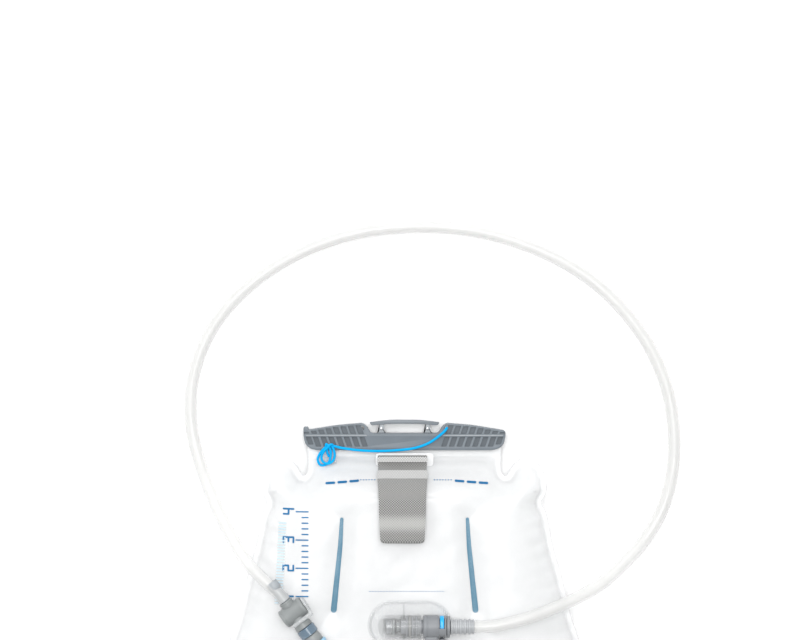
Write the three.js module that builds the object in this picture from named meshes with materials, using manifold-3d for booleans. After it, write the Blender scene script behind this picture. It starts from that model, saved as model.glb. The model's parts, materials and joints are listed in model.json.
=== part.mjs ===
// A low-profile hydration bladder, lying flat on its back panel with its drink tube laid out round it.
// Millimetres. +X is across the bag, +Y runs towards the filling mouth and +Z up, away from the back panel.
// The origin is under the middle of the bag, on the surface that it lies on.
import * as THREE from "three";
import { mergeVertices } from "three/addons/utils/BufferGeometryUtils.js";
import Module from "manifold-3d";

const wasm = await Module();
wasm.setup();

// ---------- driving dimensions ----------
const GAP = 0.3; // between pieces that touch
const FILM = 0.9; // panel thickness
const FLANGE = 4.5; // width of the welded edge
const SEAM_Z = 20; // height of the edge weld round the water chamber
const NECK_SEAM_Z = 7.2; // height of the two films inside the slide seal
const FRONT_RISE = 21; // how far the filled front panel stands above the seam
const CROWN = 40; // width of the rounded border of the filled bag
const BAG_CENTRE = new THREE.Vector2(0, -40); // every point of the outline can be seen from here
const RINGS = [0, 0.22, 0.42, 0.58, 0.7, 0.8, 0.88, 0.94];
const OUTLINE_STEP = 22; // longest side of the bag's outline polygon

const SLIDE_HALF = 76.8; // half length of the slide seal
const SLIDE_Y = 82.6; // its lower edge
const SLIDE_TOP = 95.4; // its upper edge between the wings
const WING_TOP = 103.1;
const SLIDE_Z = [0.4, 13.6];
const WING_Z = [2.4, 11.6];
const CHANNEL_END = -74.6; // closed end of the channel
const SLOT_Z = [5.2, 9.2]; // narrow mouth of the channel
const POCKET_Z = [3.6, 10.8]; // wide part of the channel, which holds the hem
const POCKET_Y = [87.2, 92.4];

const TETHER_HOLE = [32.2, 99.6]; // hole in each wing
const EYELET_Z = 13.6; // the tether's ferrule lies on the neck
const EYELET_Y = 73.9;
const HANDLE_HALF = 26.5;
const POST_X = 17.6; // each post of the handle, from the middle
const POST_HALF = 2;
const RIVET_Y = 98.9;

const STRAP_HALF = 19;
const STRAP_LOW_Z = 13.8; // lowest that the strap's back layer lies, over the neck
const STRAP_END = 15.2; // where the two layers meet
const STRAP_TOP = 79;
const TAPE_TOP = 60;
const FLAP_FREE_END = 67.7;
const WEBBING = 1.3; // thickness of each layer of the strap
const TAPE = 0.8; // thickness of each hook or loop tape

const PORT_Y = -46.3;
const PORT_FILM_Z = SEAM_Z + FILM + GAP / 2 + FRONT_RISE; // top of the front panel under the port's flange
const PORT_Z = PORT_FILM_Z + 10.6;
const PORT_BORE = 8.1;
const PORT_MOUTH = 12.2;
const SHAFT = 5.15; // radius of the plug's shaft
const SHELL = 8.6; // radius of the connector
const HOSE = 4.75; // outer radius of the drink tube

const VALVE_START = new THREE.Vector3(-88.8, -27.7, 50.6);
const VALVE_TURN = Math.atan2(-0.8, 0.6); // direction of flow in the plan view
const BARREL_X = 10.3;
const BARREL_RADIUS = 7.1;

// Half of the bag's outline, from the middle of the mouth round the right side to the bottom.
const OUTLINE = [
  [0, 88],
  [73.5, 88],
  [73.6, 79],
  [73.7, 66],
  [76.8, 63],
  [82, 70.5],
  [91, 76.8],
  [100, 73],
  [105.5, 66],
  [107, 50],
  [103.5, 44],
  [107, 36],
  [112.6, 9],
  [118, -9],
  [126, -42],
  [134, -66],
  [138, -80],
  [136, -93],
  [128, -102],
  [114, -105.7],
  [0, -105.7],
];

// Centre line of the drink tube from the connector to the shut-off valve.
const TUBE_ROUTE = [
  [52, -46.3, 52.6],
  [64, -46, 52.6],
  [78, -43.5, 51.6],
  [97, -38.5, 49],
  [115, -32, 44],
  [135, -24, 34.5],
  [149, -16.5, 27],
  [163, -5.5, 18.5],
  [181, 12, 9],
  [196.8, 37.6, 5],
  [204.8, 69, 5],
  [205.2, 101.3, 5],
  [199.2, 132.5, 5],
  [186.8, 161.2, 5],
  [169.2, 186.2, 5],
  [148.3, 207.2, 5],
  [124.7, 223.8, 5],
  [99.7, 235.9, 5],
  [74.1, 244.8, 5],
  [48.1, 250.4, 5],
  [21.8, 252.7, 5],
  [-4.8, 252.2, 5],
  [-32, 248.8, 5],
  [-59.2, 241.4, 5],
  [-86, 229.7, 5],
  [-111.8, 213.4, 5],
  [-134.9, 191.7, 5],
  [-152.4, 164.6, 5],
  [-162, 133.7, 5],
  [-162.4, 101.3, 5],
  [-155, 70.2, 8.5],
  [-143.1, 42, 20],
  [-128, 15.5, 36],
  [-114.9, -2.2, 45.5],
  [-101.5, -15, 49.6],
  [-94, -21.4, 50.6],
  [-89.2, -27.1, 50.6],
];

// Centre line of the tether from the slide seal to the eyelet on the neck.
const TETHER_ROUTE = [
  [32.2, 99.6, 13],
  [30.6, 97.4, 15.2],
  [23.8, 91.7, 15.2],
  [17.8, 87.9, 15.2],
  [7.9, 84.4, 15.2],
  [-3.4, 82.9, 15.2],
  [-14.8, 82.2, 15.2],
  [-26.2, 82.2, 15.2],
  [-37.5, 83, 15.2],
  [-48.2, 84.6, 15.2],
  [-54.2, 86, 15.2],
  [-57.6, 86.2, 15.2],
  [-58.8, 82, 15.1],
  [-57.4, 77.8, 14],
];

// ---------- helpers ----------
const material = (color, roughness, opacity = 1) =>
  new THREE.MeshStandardMaterial({ color, roughness, metalness: 0, opacity, transparent: opacity < 1 });

const filmClear = () => material(0xe9ecee, 0.35, 0.6);
const moldedClear = () => material(0xdfe5e8, 0.15, 0.55);
const slideGrey = () => material(0x7d878f, 0.5);
const connectorGrey = () => material(0x8c8f93, 0.45);
const valveGrey = () => material(0x969b9b, 0.45);
const cyan = () => material(0x00bdf5, 0.4);
const webbing = () => material(0x96968f, 0.9);
const sealBlack = () => material(0x2a2c2e, 0.6);
const steel = () => new THREE.MeshStandardMaterial({ color: 0xb8bcc0, roughness: 0.3, metalness: 1 });

// A closed geometry as a solid body, turned inside out first if its faces point inwards.
function solid(geometry) {
  const loose = geometry.index ? geometry.toNonIndexed() : geometry;
  const plain = new THREE.BufferGeometry().setAttribute("position", loose.getAttribute("position"));
  const merged = mergeVertices(plain, 1e-4);
  const triVerts = new Uint32Array(merged.index.array);
  const vertProperties = merged.attributes.position.array;
  const build = () => new wasm.Manifold(new wasm.Mesh({ numProp: 3, vertProperties, triVerts }));
  const made = build();
  if (made.volume() > 0) return made;
  for (let i = 0; i < triVerts.length; i += 3) {
    [triVerts[i + 1], triVerts[i + 2]] = [triVerts[i + 2], triVerts[i + 1]];
  }
  return build();
}

function geometryOf(body) {
  const mesh = body.getMesh();
  const stride = mesh.numProp;
  const positions = new Float32Array(mesh.numVert * 3);
  for (let i = 0; i < mesh.numVert; i++) {
    positions.set(mesh.vertProperties.subarray(i * stride, i * stride + 3), i * 3);
  }
  const geometry = new THREE.BufferGeometry();
  geometry.setAttribute("position", new THREE.BufferAttribute(positions, 3));
  geometry.setIndex(new THREE.BufferAttribute(new Uint32Array(mesh.triVerts), 1));
  geometry.computeVertexNormals();
  return geometry;
}

const union = (first, ...rest) => rest.reduce((all, next) => all.add(next), first);
const cut = (first, ...tools) => tools.reduce((left, tool) => left.subtract(tool), first);

function box([x0, x1], [y0, y1], [z0, z1]) {
  const geometry = new THREE.BoxGeometry(x1 - x0, y1 - y0, z1 - z0);
  return solid(geometry.translate((x0 + x1) / 2, (y0 + y1) / 2, (z0 + z1) / 2));
}

// A solid of revolution about X through (y, z), from [x, radius] points that start and end on the axis.
function turnedX(points, y = 0, z = 0, sides = 20) {
  const profile = points.map(([x, r]) => new THREE.Vector2(r, x));
  const geometry = new THREE.LatheGeometry(profile, sides);
  return solid(geometry.rotateZ(-Math.PI / 2).translate(0, y, z));
}

const rodX = (r, x0, x1, y = 0, z = 0, sides = 20) =>
  turnedX([[x0, 0], [x0, r], [x1, r], [x1, 0]], y, z, sides);

function rodY(r, y0, y1, x = 0, z = 0, sides = 20) {
  const geometry = new THREE.CylinderGeometry(r, r, y1 - y0, sides);
  return solid(geometry.translate(x, (y0 + y1) / 2, z));
}

function rodZ(r, z0, z1, x = 0, y = 0, sides = 20) {
  const geometry = new THREE.CylinderGeometry(r, r, z1 - z0, sides);
  return solid(geometry.rotateX(Math.PI / 2).translate(x, y, (z0 + z1) / 2));
}

const ringX = (outer, inner, x0, x1, y, z) =>
  cut(rodX(outer, x0, x1, y, z), rodX(inner, x0 - 1, x1 + 1, y, z));

// A flat outline in X and Y, from z0 to z1.
function plate(points, [z0, z1]) {
  const shape = new THREE.Shape(points.map(([x, y]) => new THREE.Vector2(x, y)));
  const geometry = new THREE.ExtrudeGeometry(shape, { depth: z1 - z0, bevelEnabled: false });
  return solid(geometry.translate(0, 0, z0));
}

function circleShape(radius, sides) {
  const points = Array.from({ length: sides }, (_, i) => {
    const a = (2 * Math.PI * i) / sides;
    return new THREE.Vector2(radius * Math.cos(a), radius * Math.sin(a));
  });
  return new THREE.Shape(points);
}

// A round tube along a smooth curve through the route.
function tube(route, radius, steps, sides) {
  const path = new THREE.CatmullRomCurve3(route.map((p) => new THREE.Vector3(...p)), false, "centripetal");
  const settings = { steps, bevelEnabled: false, extrudePath: path };
  return new THREE.ExtrudeGeometry(circleShape(radius, sides), settings);
}

// A coil spring along X: a helix with the wire's section.
function spring(radius, wire, x0, x1, turns, y, z) {
  const count = turns * 10;
  const route = Array.from({ length: count + 1 }, (_, i) => {
    const a = (2 * Math.PI * i) / 10;
    return [x0 + ((x1 - x0) * i) / count, y + radius * Math.cos(a), z + radius * Math.sin(a)];
  });
  return tube(route, wire, count, 6);
}

function piece(group, name, shape, look) {
  const geometry = shape.isBufferGeometry ? shape : geometryOf(shape);
  const mesh = new THREE.Mesh(geometry, look);
  mesh.name = name;
  group.add(mesh);
}

const smooth = (a, b, v) => {
  const t = Math.min(Math.max((v - a) / (b - a), 0), 1);
  return t * t * (3 - 2 * t);
};

// ---------- the film bag ----------
const mirrored = [...OUTLINE.slice(1, -1)].reverse().map(([x, y]) => [-x, y]);
const outline = subdivided([...OUTLINE, ...mirrored], OUTLINE_STEP);

function subdivided(points, step) {
  return points.flatMap(([x, y], i) => {
    const [nx, ny] = points[(i + 1) % points.length];
    const parts = Math.ceil(Math.hypot(nx - x, ny - y) / step);
    return Array.from({ length: parts }, (_, k) => [x + ((nx - x) * k) / parts, y + ((ny - y) * k) / parts]);
  });
}

function distanceToEdge(x, y) {
  const point = new THREE.Vector3(x, y, 0);
  const near = new THREE.Vector3();
  const gaps = outline.map(([ax, ay], i) => {
    const [bx, by] = outline[(i + 1) % outline.length];
    const side = new THREE.Line3(new THREE.Vector3(ax, ay, 0), new THREE.Vector3(bx, by, 0));
    return side.closestPointToPoint(point, true, near).distanceTo(point);
  });
  return Math.min(...gaps);
}

const seamHeight = (y) => THREE.MathUtils.lerp(SEAM_Z, NECK_SEAM_Z, smooth(54, 78, y));

// A quarter-ellipse rise from the welded edge to the flat of the bag.
function crown(x, y, width) {
  const inside = Math.min(Math.max(distanceToEdge(x, y) - FLANGE, 0), width);
  return Math.sqrt(1 - (1 - inside / width) ** 2);
}

const frontTop = (x, y) => {
  const filled = 1 - smooth(46, 74, y);
  const neck = 2.2 * (1 - smooth(70, 78, y));
  const rise = crown(x, y, CROWN) * FRONT_RISE * filled + neck * (1 - filled) * crown(x, y, 8);
  return seamHeight(y) + FILM + GAP / 2 + rise;
};

const backBottom = (x, y) => {
  const depth = crown(x, y, 30) * 24 * (1 - smooth(64, 78, y));
  return Math.max(0, seamHeight(y) - FILM - GAP / 2 - depth);
};

// One film between two height functions, as a fan of rings from the bag's centre.
function film(top, bottom) {
  const vertices = [];
  const faces = [];
  const count = outline.length;
  const levels = [...RINGS.slice(1), 1];
  const add = (x, y) => vertices.push([x, y, top(x, y)], [x, y, bottom(x, y)]);
  add(BAG_CENTRE.x, BAG_CENTRE.y);
  for (const v of levels) {
    for (const [x, y] of outline) {
      add(THREE.MathUtils.lerp(BAG_CENTRE.x, x, v), THREE.MathUtils.lerp(BAG_CENTRE.y, y, v));
    }
  }
  const id = (ring, k, side) => 2 * (1 + ring * count + (k % count)) + side;
  for (let k = 0; k < count; k++) {
    faces.push([0, id(0, k + 1, 0), id(0, k, 0)], [1, id(0, k, 1), id(0, k + 1, 1)]);
    for (let ring = 0; ring + 1 < levels.length; ring++) {
      const [a, b, c, d] = [id(ring, k, 0), id(ring, k + 1, 0), id(ring + 1, k + 1, 0), id(ring + 1, k, 0)];
      faces.push([a, b, c], [a, c, d], [a + 1, c + 1, b + 1], [a + 1, d + 1, c + 1]);
    }
    const last = levels.length - 1;
    const [a, b] = [id(last, k, 0), id(last, k + 1, 0)];
    faces.push([a, b, b + 1], [a, b + 1, a + 1]);
  }
  const geometry = new THREE.BufferGeometry();
  geometry.setAttribute("position", new THREE.Float32BufferAttribute(vertices.flat(), 3));
  geometry.setIndex(faces.flat());
  return solid(geometry);
}

const baffleX = (y) => 47 + ((32.5 - y) * 6) / 67.8;

function baffle(side) {
  const stations = Array.from({ length: 6 }, (_, i) => 31 - i * 13);
  const shape = new THREE.Shape([
    ...stations.map((y) => new THREE.Vector2(y, backBottom(side * baffleX(y), y) + FILM + 0.6)),
    ...[...stations].reverse().map((y) => new THREE.Vector2(y, frontTop(side * baffleX(y), y) - FILM - 2.6)),
  ]);
  const web = new THREE.ExtrudeGeometry(shape, { depth: 0.8, bevelEnabled: false }).translate(0, 0, -0.4);
  const turn = new THREE.Matrix4().makeBasis(
    new THREE.Vector3(-side * (6 / 67.8), 1, 0),
    new THREE.Vector3(0, 0, 1),
    new THREE.Vector3(1, 0, 0),
  );
  web.applyMatrix4(turn);
  return solid(web.translate(side * baffleX(0), 0, 0));
}

// ---------- bag, slide seal and strap ----------
function bladder() {
  const group = new THREE.Group();
  const portHole = rodZ(4, PORT_FILM_Z - 6, PORT_FILM_Z + 3, -12, PORT_Y);
  const front = film(frontTop, (x, y) => frontTop(x, y) - FILM);
  piece(group, "front_panel", cut(front, portHole), filmClear());
  piece(group, "back_panel", film((x, y) => backBottom(x, y) + FILM, backBottom), filmClear());
  piece(group, "baffle_left", baffle(-1), filmClear());
  piece(group, "baffle_right", baffle(1), filmClear());

  const hem = new THREE.CylinderGeometry(1, 1, 143, 12).rotateZ(Math.PI / 2).scale(1, 1.7, 2.7);
  piece(group, "mouth_bead", solid(hem.translate(0, 90.1, NECK_SEAM_Z)), filmClear());

  const tab = box([-STRAP_HALF - 3, STRAP_HALF + 3], [70.5, 80.6], [14.6, 15.4]);
  piece(group, "strap_tab", tab, moldedClear());
  const ferrule = rodX(1.6, -60, -51.4, EYELET_Y, EYELET_Z, 16);
  const ferruleBore = rodX(0.8, -61, -50, EYELET_Y, EYELET_Z, 12);
  piece(group, "tether_eyelet", cut(ferrule, ferruleBore), moldedClear());
  return group;
}

function slideSeal() {
  const group = new THREE.Group();
  const wingOutline = [
    [25.5, 94],
    [31, WING_TOP],
    [52, 101.4],
    [72, 98.6],
    [SLIDE_HALF, 97.2],
    [SLIDE_HALF, 94],
  ];
  const wing = (side) => plate(wingOutline.map(([x, y]) => [side * x, y]), WING_Z);
  const r = 9; // size of the rounded lower corners
  const body = plate(
    [
      [-SLIDE_HALF, SLIDE_Y + r],
      [-SLIDE_HALF + r * 0.3, SLIDE_Y + r * 0.3],
      [-SLIDE_HALF + r, SLIDE_Y],
      [SLIDE_HALF - r, SLIDE_Y],
      [SLIDE_HALF - r * 0.3, SLIDE_Y + r * 0.3],
      [SLIDE_HALF, SLIDE_Y + r],
      [SLIDE_HALF, SLIDE_TOP],
      [-SLIDE_HALF, SLIDE_TOP],
    ],
    SLIDE_Z,
  );
  const slot = box([CHANNEL_END, SLIDE_HALF + 1], [SLIDE_Y - 1, POCKET_Y[1]], SLOT_Z);
  const pocket = box([CHANNEL_END, SLIDE_HALF + 1], POCKET_Y, POCKET_Z);
  const holes = [-1, 1].map((side) => rodZ(1.7, 0, 15, side * TETHER_HOLE[0], TETHER_HOLE[1], 14));
  piece(group, "slide_seal", cut(union(body, wing(-1), wing(1)), slot, pocket, ...holes), slideGrey());
  handle(group);
  return group;
}

// The carrying handle on two posts, with a rivet through each post.
function handle(group) {
  const arch = plate(
    [
      [-HANDLE_HALF, 101.4],
      [-24, 100.6],
      [-20, 102.2],
      [20, 102.2],
      [24, 100.6],
      [HANDLE_HALF, 101.4],
      [24, 104],
      [14, 105.2],
      [0, 105.7],
      [-14, 105.2],
      [-24, 104],
    ],
    [3.6, 10.4],
  );
  const foot = SLIDE_TOP + GAP;
  const postOutline = [
    [-3, foot],
    [3, foot],
    [POST_HALF, foot + 1.7],
    [POST_HALF, 103],
    [-POST_HALF, 103],
    [-POST_HALF, foot + 1.7],
  ];
  const post = (side) => plate(postOutline.map(([x, y]) => [x + side * POST_X, y]), [4.4, 9.6]);
  const rivetHoles = [-1, 1].map((side) => rodZ(1, 0, 15, side * POST_X, RIVET_Y, 14));
  piece(group, "handle_bar", cut(union(arch, post(-1), post(1)), ...rivetHoles), slideGrey());
  const pin = (side, radius, z0, z1) => rodZ(radius, z0, z1, side * POST_X, RIVET_Y, 14);
  const head = (side, z0) => pin(side, 1.4, z0, z0 + 0.6);
  const rivet = (side) => union(pin(side, 0.7, 3.9, 10.1), head(side, 9.9), head(side, 3.5));
  piece(group, "rivet_left", rivet(-1), steel());
  piece(group, "rivet_right", rivet(1), steel());
}

// The bag's surface under the strap, along the middle, as straight stretches between a few stations.
const LAY_STEP = 5;
const layAt = (y) => Math.max(frontTop(0, y), STRAP_LOW_Z);
const lay = (y) => {
  const low = Math.floor(y / LAY_STEP) * LAY_STEP;
  return THREE.MathUtils.lerp(layAt(low), layAt(low + LAY_STEP), (y - low) / LAY_STEP);
};

function webbingStrip(y0, y1, offset, thickness, half) {
  const inner = Array.from({ length: 20 }, (_, i) => i * LAY_STEP).filter((y) => y > y0 && y < y1);
  const stations = [y0, ...inner, y1];
  const shape = new THREE.Shape([
    ...stations.map((y) => new THREE.Vector2(y, lay(y) + offset)),
    ...[...stations].reverse().map((y) => new THREE.Vector2(y, lay(y) + offset + thickness)),
  ]);
  const strip = new THREE.ExtrudeGeometry(shape, { depth: 2 * half, bevelEnabled: false });
  const basis = new THREE.Matrix4().makeBasis(
    new THREE.Vector3(0, 1, 0),
    new THREE.Vector3(0, 0, 1),
    new THREE.Vector3(1, 0, 0),
  );
  return solid(strip.applyMatrix4(basis).translate(-half, 0, 0));
}

function strap() {
  const group = new THREE.Group();
  piece(group, "strap_back", webbingStrip(STRAP_END + 2, STRAP_TOP, 2.2, WEBBING, STRAP_HALF), webbing());
  const tape = (offset) => webbingStrip(STRAP_END + 8, TAPE_TOP, offset, TAPE, STRAP_HALF - 3);
  piece(group, "loop_tape", tape(3.9), webbing());
  piece(group, "hook_tape", tape(5.1), webbing());
  piece(group, "strap_front", webbingStrip(STRAP_END, FLAP_FREE_END, 6.3, WEBBING, STRAP_HALF), webbing());
  return group;
}

// ---------- outlet port, plug and latch ----------
const alongX = (make) => (points) => make(points, PORT_Y, PORT_Z);
const portTurned = alongX(turnedX);
const portRod = (r, x0, x1) => rodX(r, x0, x1, PORT_Y, PORT_Z);

function port() {
  const group = new THREE.Group();
  const flangeOutline = Array.from({ length: 32 }, (_, i) => {
    const a = (2 * Math.PI * i) / 32;
    const shift = Math.cos(a) > 0 ? 17 : -9;
    return [shift + 18.7 * Math.cos(a), PORT_Y + 18.7 * Math.sin(a)];
  });
  const flange = plate(flangeOutline, [PORT_FILM_Z + GAP, PORT_FILM_Z + 1.6]);
  const cradle = box([-16, 11], [PORT_Y - 6, PORT_Y + 6], [PORT_FILM_Z + 1, PORT_Z]);
  const domeProfile = [[-20, 0], [-19.4, 4], [-17, 7], [-13, 8.8]];
  const mouthProfile = [[10, 8.8], [10.4, 9.2], [PORT_MOUTH, 9.2], [PORT_MOUTH, 0]];
  const shell = portTurned([...domeProfile, ...mouthProfile]);
  const bore = portRod(PORT_BORE, -3.2, PORT_MOUTH + 1);
  const seat = portRod(4.4, -5, -3);
  const chamber = portRod(6.2, -14, -4.6);
  const inlet = rodZ(4, PORT_FILM_Z - 2, PORT_Z, -12, PORT_Y);
  piece(group, "port_housing", cut(union(flange, cradle, shell), bore, seat, chamber, inlet), moldedClear());
  piece(group, "poppet_spring", spring(4.6, 0.4, -13.2, -9.4, 3, PORT_Y, PORT_Z), steel());

  const poppet = portTurned([[-9, 0], [-9, 5.6], [-7.6, 5.6], [-7.6, 3.6], [-3.4, 3.2], [-3.4, 0]]);
  piece(group, "port_poppet", poppet, valveGrey());
  piece(group, "poppet_seal", ringX(5.4, 3.9, -7.3, -6, PORT_Y, PORT_Z), sealBlack());
  return group;
}

function plug() {
  const group = new THREE.Group();
  const body = portTurned([
    [-2.9, 0],
    [-2.9, SHAFT],
    [1.2, SHAFT],
    [1.2, 7.8],
    [2.4, 7.8],
    [2.4, SHAFT],
    [5.4, SHAFT],
    [5.4, 7.8],
    [6.6, 7.8],
    [6.6, SHAFT],
    [8.2, SHAFT],
    [8.2, 7.8],
    [9.4, 7.8],
    [9.4, SHAFT],
    [33.8, SHAFT],
    [33.8, 3.4],
    [38, 4],
    [38, 3.3],
    [42, 4],
    [42, 3.3],
    [49, 3.3],
    [49, 0],
  ]);
  piece(group, "plug_body", cut(body, portRod(2.4, -4, 50)), connectorGrey());
  piece(group, "plug_oring", ringX(7.95, 5.45, 2.8, 5, PORT_Y, PORT_Z), sealBlack());

  const shell = portTurned([[13.7, 0], [13.7, 8.2], [14.3, SHELL], [30.4, SHELL], [31, 8.2], [31, 0]]);
  const grip = box([15, 24.5], [PORT_Y - 10.5, PORT_Y - 6], [PORT_Z - 5, PORT_Z + 5]);
  const latchSlot = box([25.7, 29.7], [PORT_Y - 13, PORT_Y + 13], [PORT_Z - 7, PORT_Z + 7]);
  const window = box([25.7, 29.7], [PORT_Y - 0.4, PORT_Y + 13], [PORT_Z, PORT_Z + 12]);
  const shaftBore = portRod(SHAFT + GAP, 13, 32);
  piece(group, "connector_shell", cut(union(shell, grip), latchSlot, window, shaftBore), connectorGrey());
  piece(group, "connector_collar", ringX(8, SHAFT + GAP, 31.3, 33.6, PORT_Y, PORT_Z), connectorGrey());

  const ribs = Array.from({ length: 5 }, (_, i) => 34.1 + i * 3.3);
  const bootProfile = [
    [33.9, 0],
    ...ribs.flatMap((x) => [[x, 5.75], [x + 2.1, 5.75], [x + 2.2, 5.2], [x + 3.1, 5.2]]),
    [51.6, 5.6],
    [51.6, 0],
  ];
  piece(group, "hose_boot", cut(portTurned(bootProfile), portRod(4.4, 33, 53)), connectorGrey());
  piece(group, "drink_tube", tube(TUBE_ROUTE, HOSE, 78, 8), filmClear());
  return group;
}

function latch() {
  const group = new THREE.Group();
  const disc = portRod(8.2, 26.2, 29.2);
  const yoke = disc.intersect(box([25, 31], [PORT_Y - 9, PORT_Y + 9], [PORT_Z - 6.7, PORT_Z + 6.7]));
  const clearHole = union(portRod(5.35, 25, 31), rodX(5.35, 25, 31, PORT_Y - 2.2, PORT_Z));
  const openSide = box([25, 31], [PORT_Y - 2.2, PORT_Y], [PORT_Z - 5.35, PORT_Z + 5.35]);
  piece(group, "latch_clip", cut(yoke, clearHole, openSide), cyan());
  const button = box([26, 29.4], [PORT_Y - 14, PORT_Y - 8.5], [PORT_Z - 5.4, PORT_Z + 5.4]);
  piece(group, "latch_button", button, connectorGrey());
  return group;
}

// ---------- shut-off valve and bite valve, modelled along +X and then turned to lie on the bag ----------
function valve() {
  const group = new THREE.Group();
  const inletProfile = [[0, 0], [0, 5.2], [4.4, 5.2], [5.4, 4.6], [14, 4.6]];
  const outletProfile = [[15.4, 5.6], [17.4, 5.6], [22.6, 6.75], [24, 6.75], [24, 0]];
  const neck = turnedX([...inletProfile, ...outletProfile]);
  const barrel = rodY(BARREL_RADIUS, -9.4, 9.6, BARREL_X);
  const seat = rodY(5.9, -7.6, 10, BARREL_X);
  const passage = rodX(2.6, -1, 30);
  piece(group, "valve_body", cut(union(neck, barrel), seat, passage), valveGrey());
  piece(group, "valve_collar", cut(rodX(7.3, 24.3, 31), rodX(3.4, 24, 32)), moldedClear());

  lever(group);
  biteValve(group);
  group.rotation.z = VALVE_TURN;
  group.position.copy(VALVE_START);
  return group;
}

function lever(group) {
  const spool = cut(rodY(5.6, -7.2, 9.4, BARREL_X), rodX(2.6, 0, 20));
  const groove = cut(rodY(5.7, 6, 7.6, BARREL_X), rodY(4.6, 5, 9, BARREL_X));
  piece(group, "valve_spool", cut(spool, groove), valveGrey());
  piece(group, "spool_oring", cut(rodY(5.8, 6.2, 7.4, BARREL_X), rodY(4.8, 6, 8, BARREL_X)), sealBlack());

  const angle = THREE.MathUtils.degToRad(45);
  const bar = new THREE.BoxGeometry(14, 2, 5).translate(5.6, 0, 0);
  const arm = solid(bar.rotateY(-angle).translate(BARREL_X, 10.9, 0));
  const hub = rodY(5.8, 9.9, 11.9, BARREL_X);
  const finger = rodY(1.5, -6, 11, BARREL_X + 11 * Math.cos(angle), 11 * Math.sin(angle), 14);
  piece(group, "shutoff_lever", union(hub, arm, finger), moldedClear());
}

function biteValve(group) {
  const housing = turnedX([[31.3, 0], [31.3, 6.2], [33, 6.6], [38, 6.6], [38, 4.4], [52, 4.4], [52, 0]]);
  piece(group, "bite_housing", cut(housing, rodX(2.6, 30, 53)), valveGrey());
  piece(group, "bite_ring", cut(rodX(7.8, 38.3, 41), rodX(4.7, 38, 42)), cyan());
  const nozzle = turnedX([[41.3, 0], [41.3, 7.6], [46, 8], [56, 7.4], [62, 6], [65, 3.4], [65.4, 0]]);
  piece(group, "mouthpiece", cut(nozzle, rodX(4.7, 40, 53), rodX(2.4, 50, 63)), material(0xf2f2f0, 0.4));
}

const assembly = new THREE.Group();
assembly.add(bladder(), slideSeal(), strap(), port(), plug(), latch(), valve());
piece(assembly, "tether_cord", tube(TETHER_ROUTE, 1, 44, 8), cyan());

export default assembly;
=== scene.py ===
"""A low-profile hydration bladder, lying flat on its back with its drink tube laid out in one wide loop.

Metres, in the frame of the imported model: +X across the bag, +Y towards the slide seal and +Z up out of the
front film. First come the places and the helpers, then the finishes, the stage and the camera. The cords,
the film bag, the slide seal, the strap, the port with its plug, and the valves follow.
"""

import json
import math

import bmesh
import bpy
import numpy as np
from mathutils import Matrix, Vector
from mathutils.geometry import delaunay_2d_cdt


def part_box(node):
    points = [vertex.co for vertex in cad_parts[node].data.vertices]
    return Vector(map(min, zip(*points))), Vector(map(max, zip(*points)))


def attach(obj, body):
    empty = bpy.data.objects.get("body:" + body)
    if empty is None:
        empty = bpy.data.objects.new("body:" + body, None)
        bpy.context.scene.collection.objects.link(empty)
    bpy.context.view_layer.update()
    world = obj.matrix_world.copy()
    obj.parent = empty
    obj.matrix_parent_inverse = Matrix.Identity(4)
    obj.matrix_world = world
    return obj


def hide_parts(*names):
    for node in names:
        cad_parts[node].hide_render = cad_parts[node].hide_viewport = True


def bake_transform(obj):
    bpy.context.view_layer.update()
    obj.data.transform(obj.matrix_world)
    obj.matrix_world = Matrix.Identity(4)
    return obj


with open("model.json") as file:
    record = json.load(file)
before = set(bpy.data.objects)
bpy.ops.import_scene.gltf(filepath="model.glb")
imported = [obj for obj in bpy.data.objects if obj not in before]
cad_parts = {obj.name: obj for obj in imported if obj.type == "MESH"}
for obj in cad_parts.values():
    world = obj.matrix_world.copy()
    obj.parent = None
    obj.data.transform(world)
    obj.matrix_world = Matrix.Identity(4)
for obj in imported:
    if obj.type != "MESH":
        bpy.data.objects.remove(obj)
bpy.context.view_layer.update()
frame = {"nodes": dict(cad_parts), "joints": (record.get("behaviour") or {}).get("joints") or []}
MM = 0.001
TOUCHING = 1e-7  # closer than this counts as the same place


# ---------- places and sizes, from the frame ----------
def corners(node):
    """The lowest and the highest corner of a CAD node."""
    low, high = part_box(node)
    return np.array(low), np.array(high)


def centre_of(node):
    return sum(corners(node)) / 2


def joint(name):
    return next(j for j in frame["joints"] if j["name"] == name)


BORE_Y, BORE_Z = centre_of("plug_oring")[1:]
PORT_END = corners("port_housing")[0][0]
STRAP_LOW, STRAP_HIGH = corners("strap_back")
VALVE_AXIS = np.array(joint("bite_swivel")["axis"], float)
VALVE_AXIS /= np.linalg.norm(VALVE_AXIS)
BARREL_CENTRE = np.array(joint("shutoff_turn")["pos_m"], float)
BARREL_FROM_START = 0.0103
VALVE_START = BARREL_CENTRE - BARREL_FROM_START * VALVE_AXIS

# The bag: the weld's width and height, the neck's height, and how far the two films stand from the weld.
FLANGE = 0.0045
HALF_WELD = 0.00105
SEAM_Z = 0.020
NECK_Z = 0.0072
FRONT_RISE = 0.021
BACK_DROP = 0.024
CROWN = 0.040
BACK_CROWN = 0.030
NECK_CROWN = 0.008
NECK_HALF = 0.074
HIGHEST_RELIEF = 0.0016
FILM_THICKNESS = 0.0005
FILM_TOP = SEAM_Z + HALF_WELD + FRONT_RISE

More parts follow.
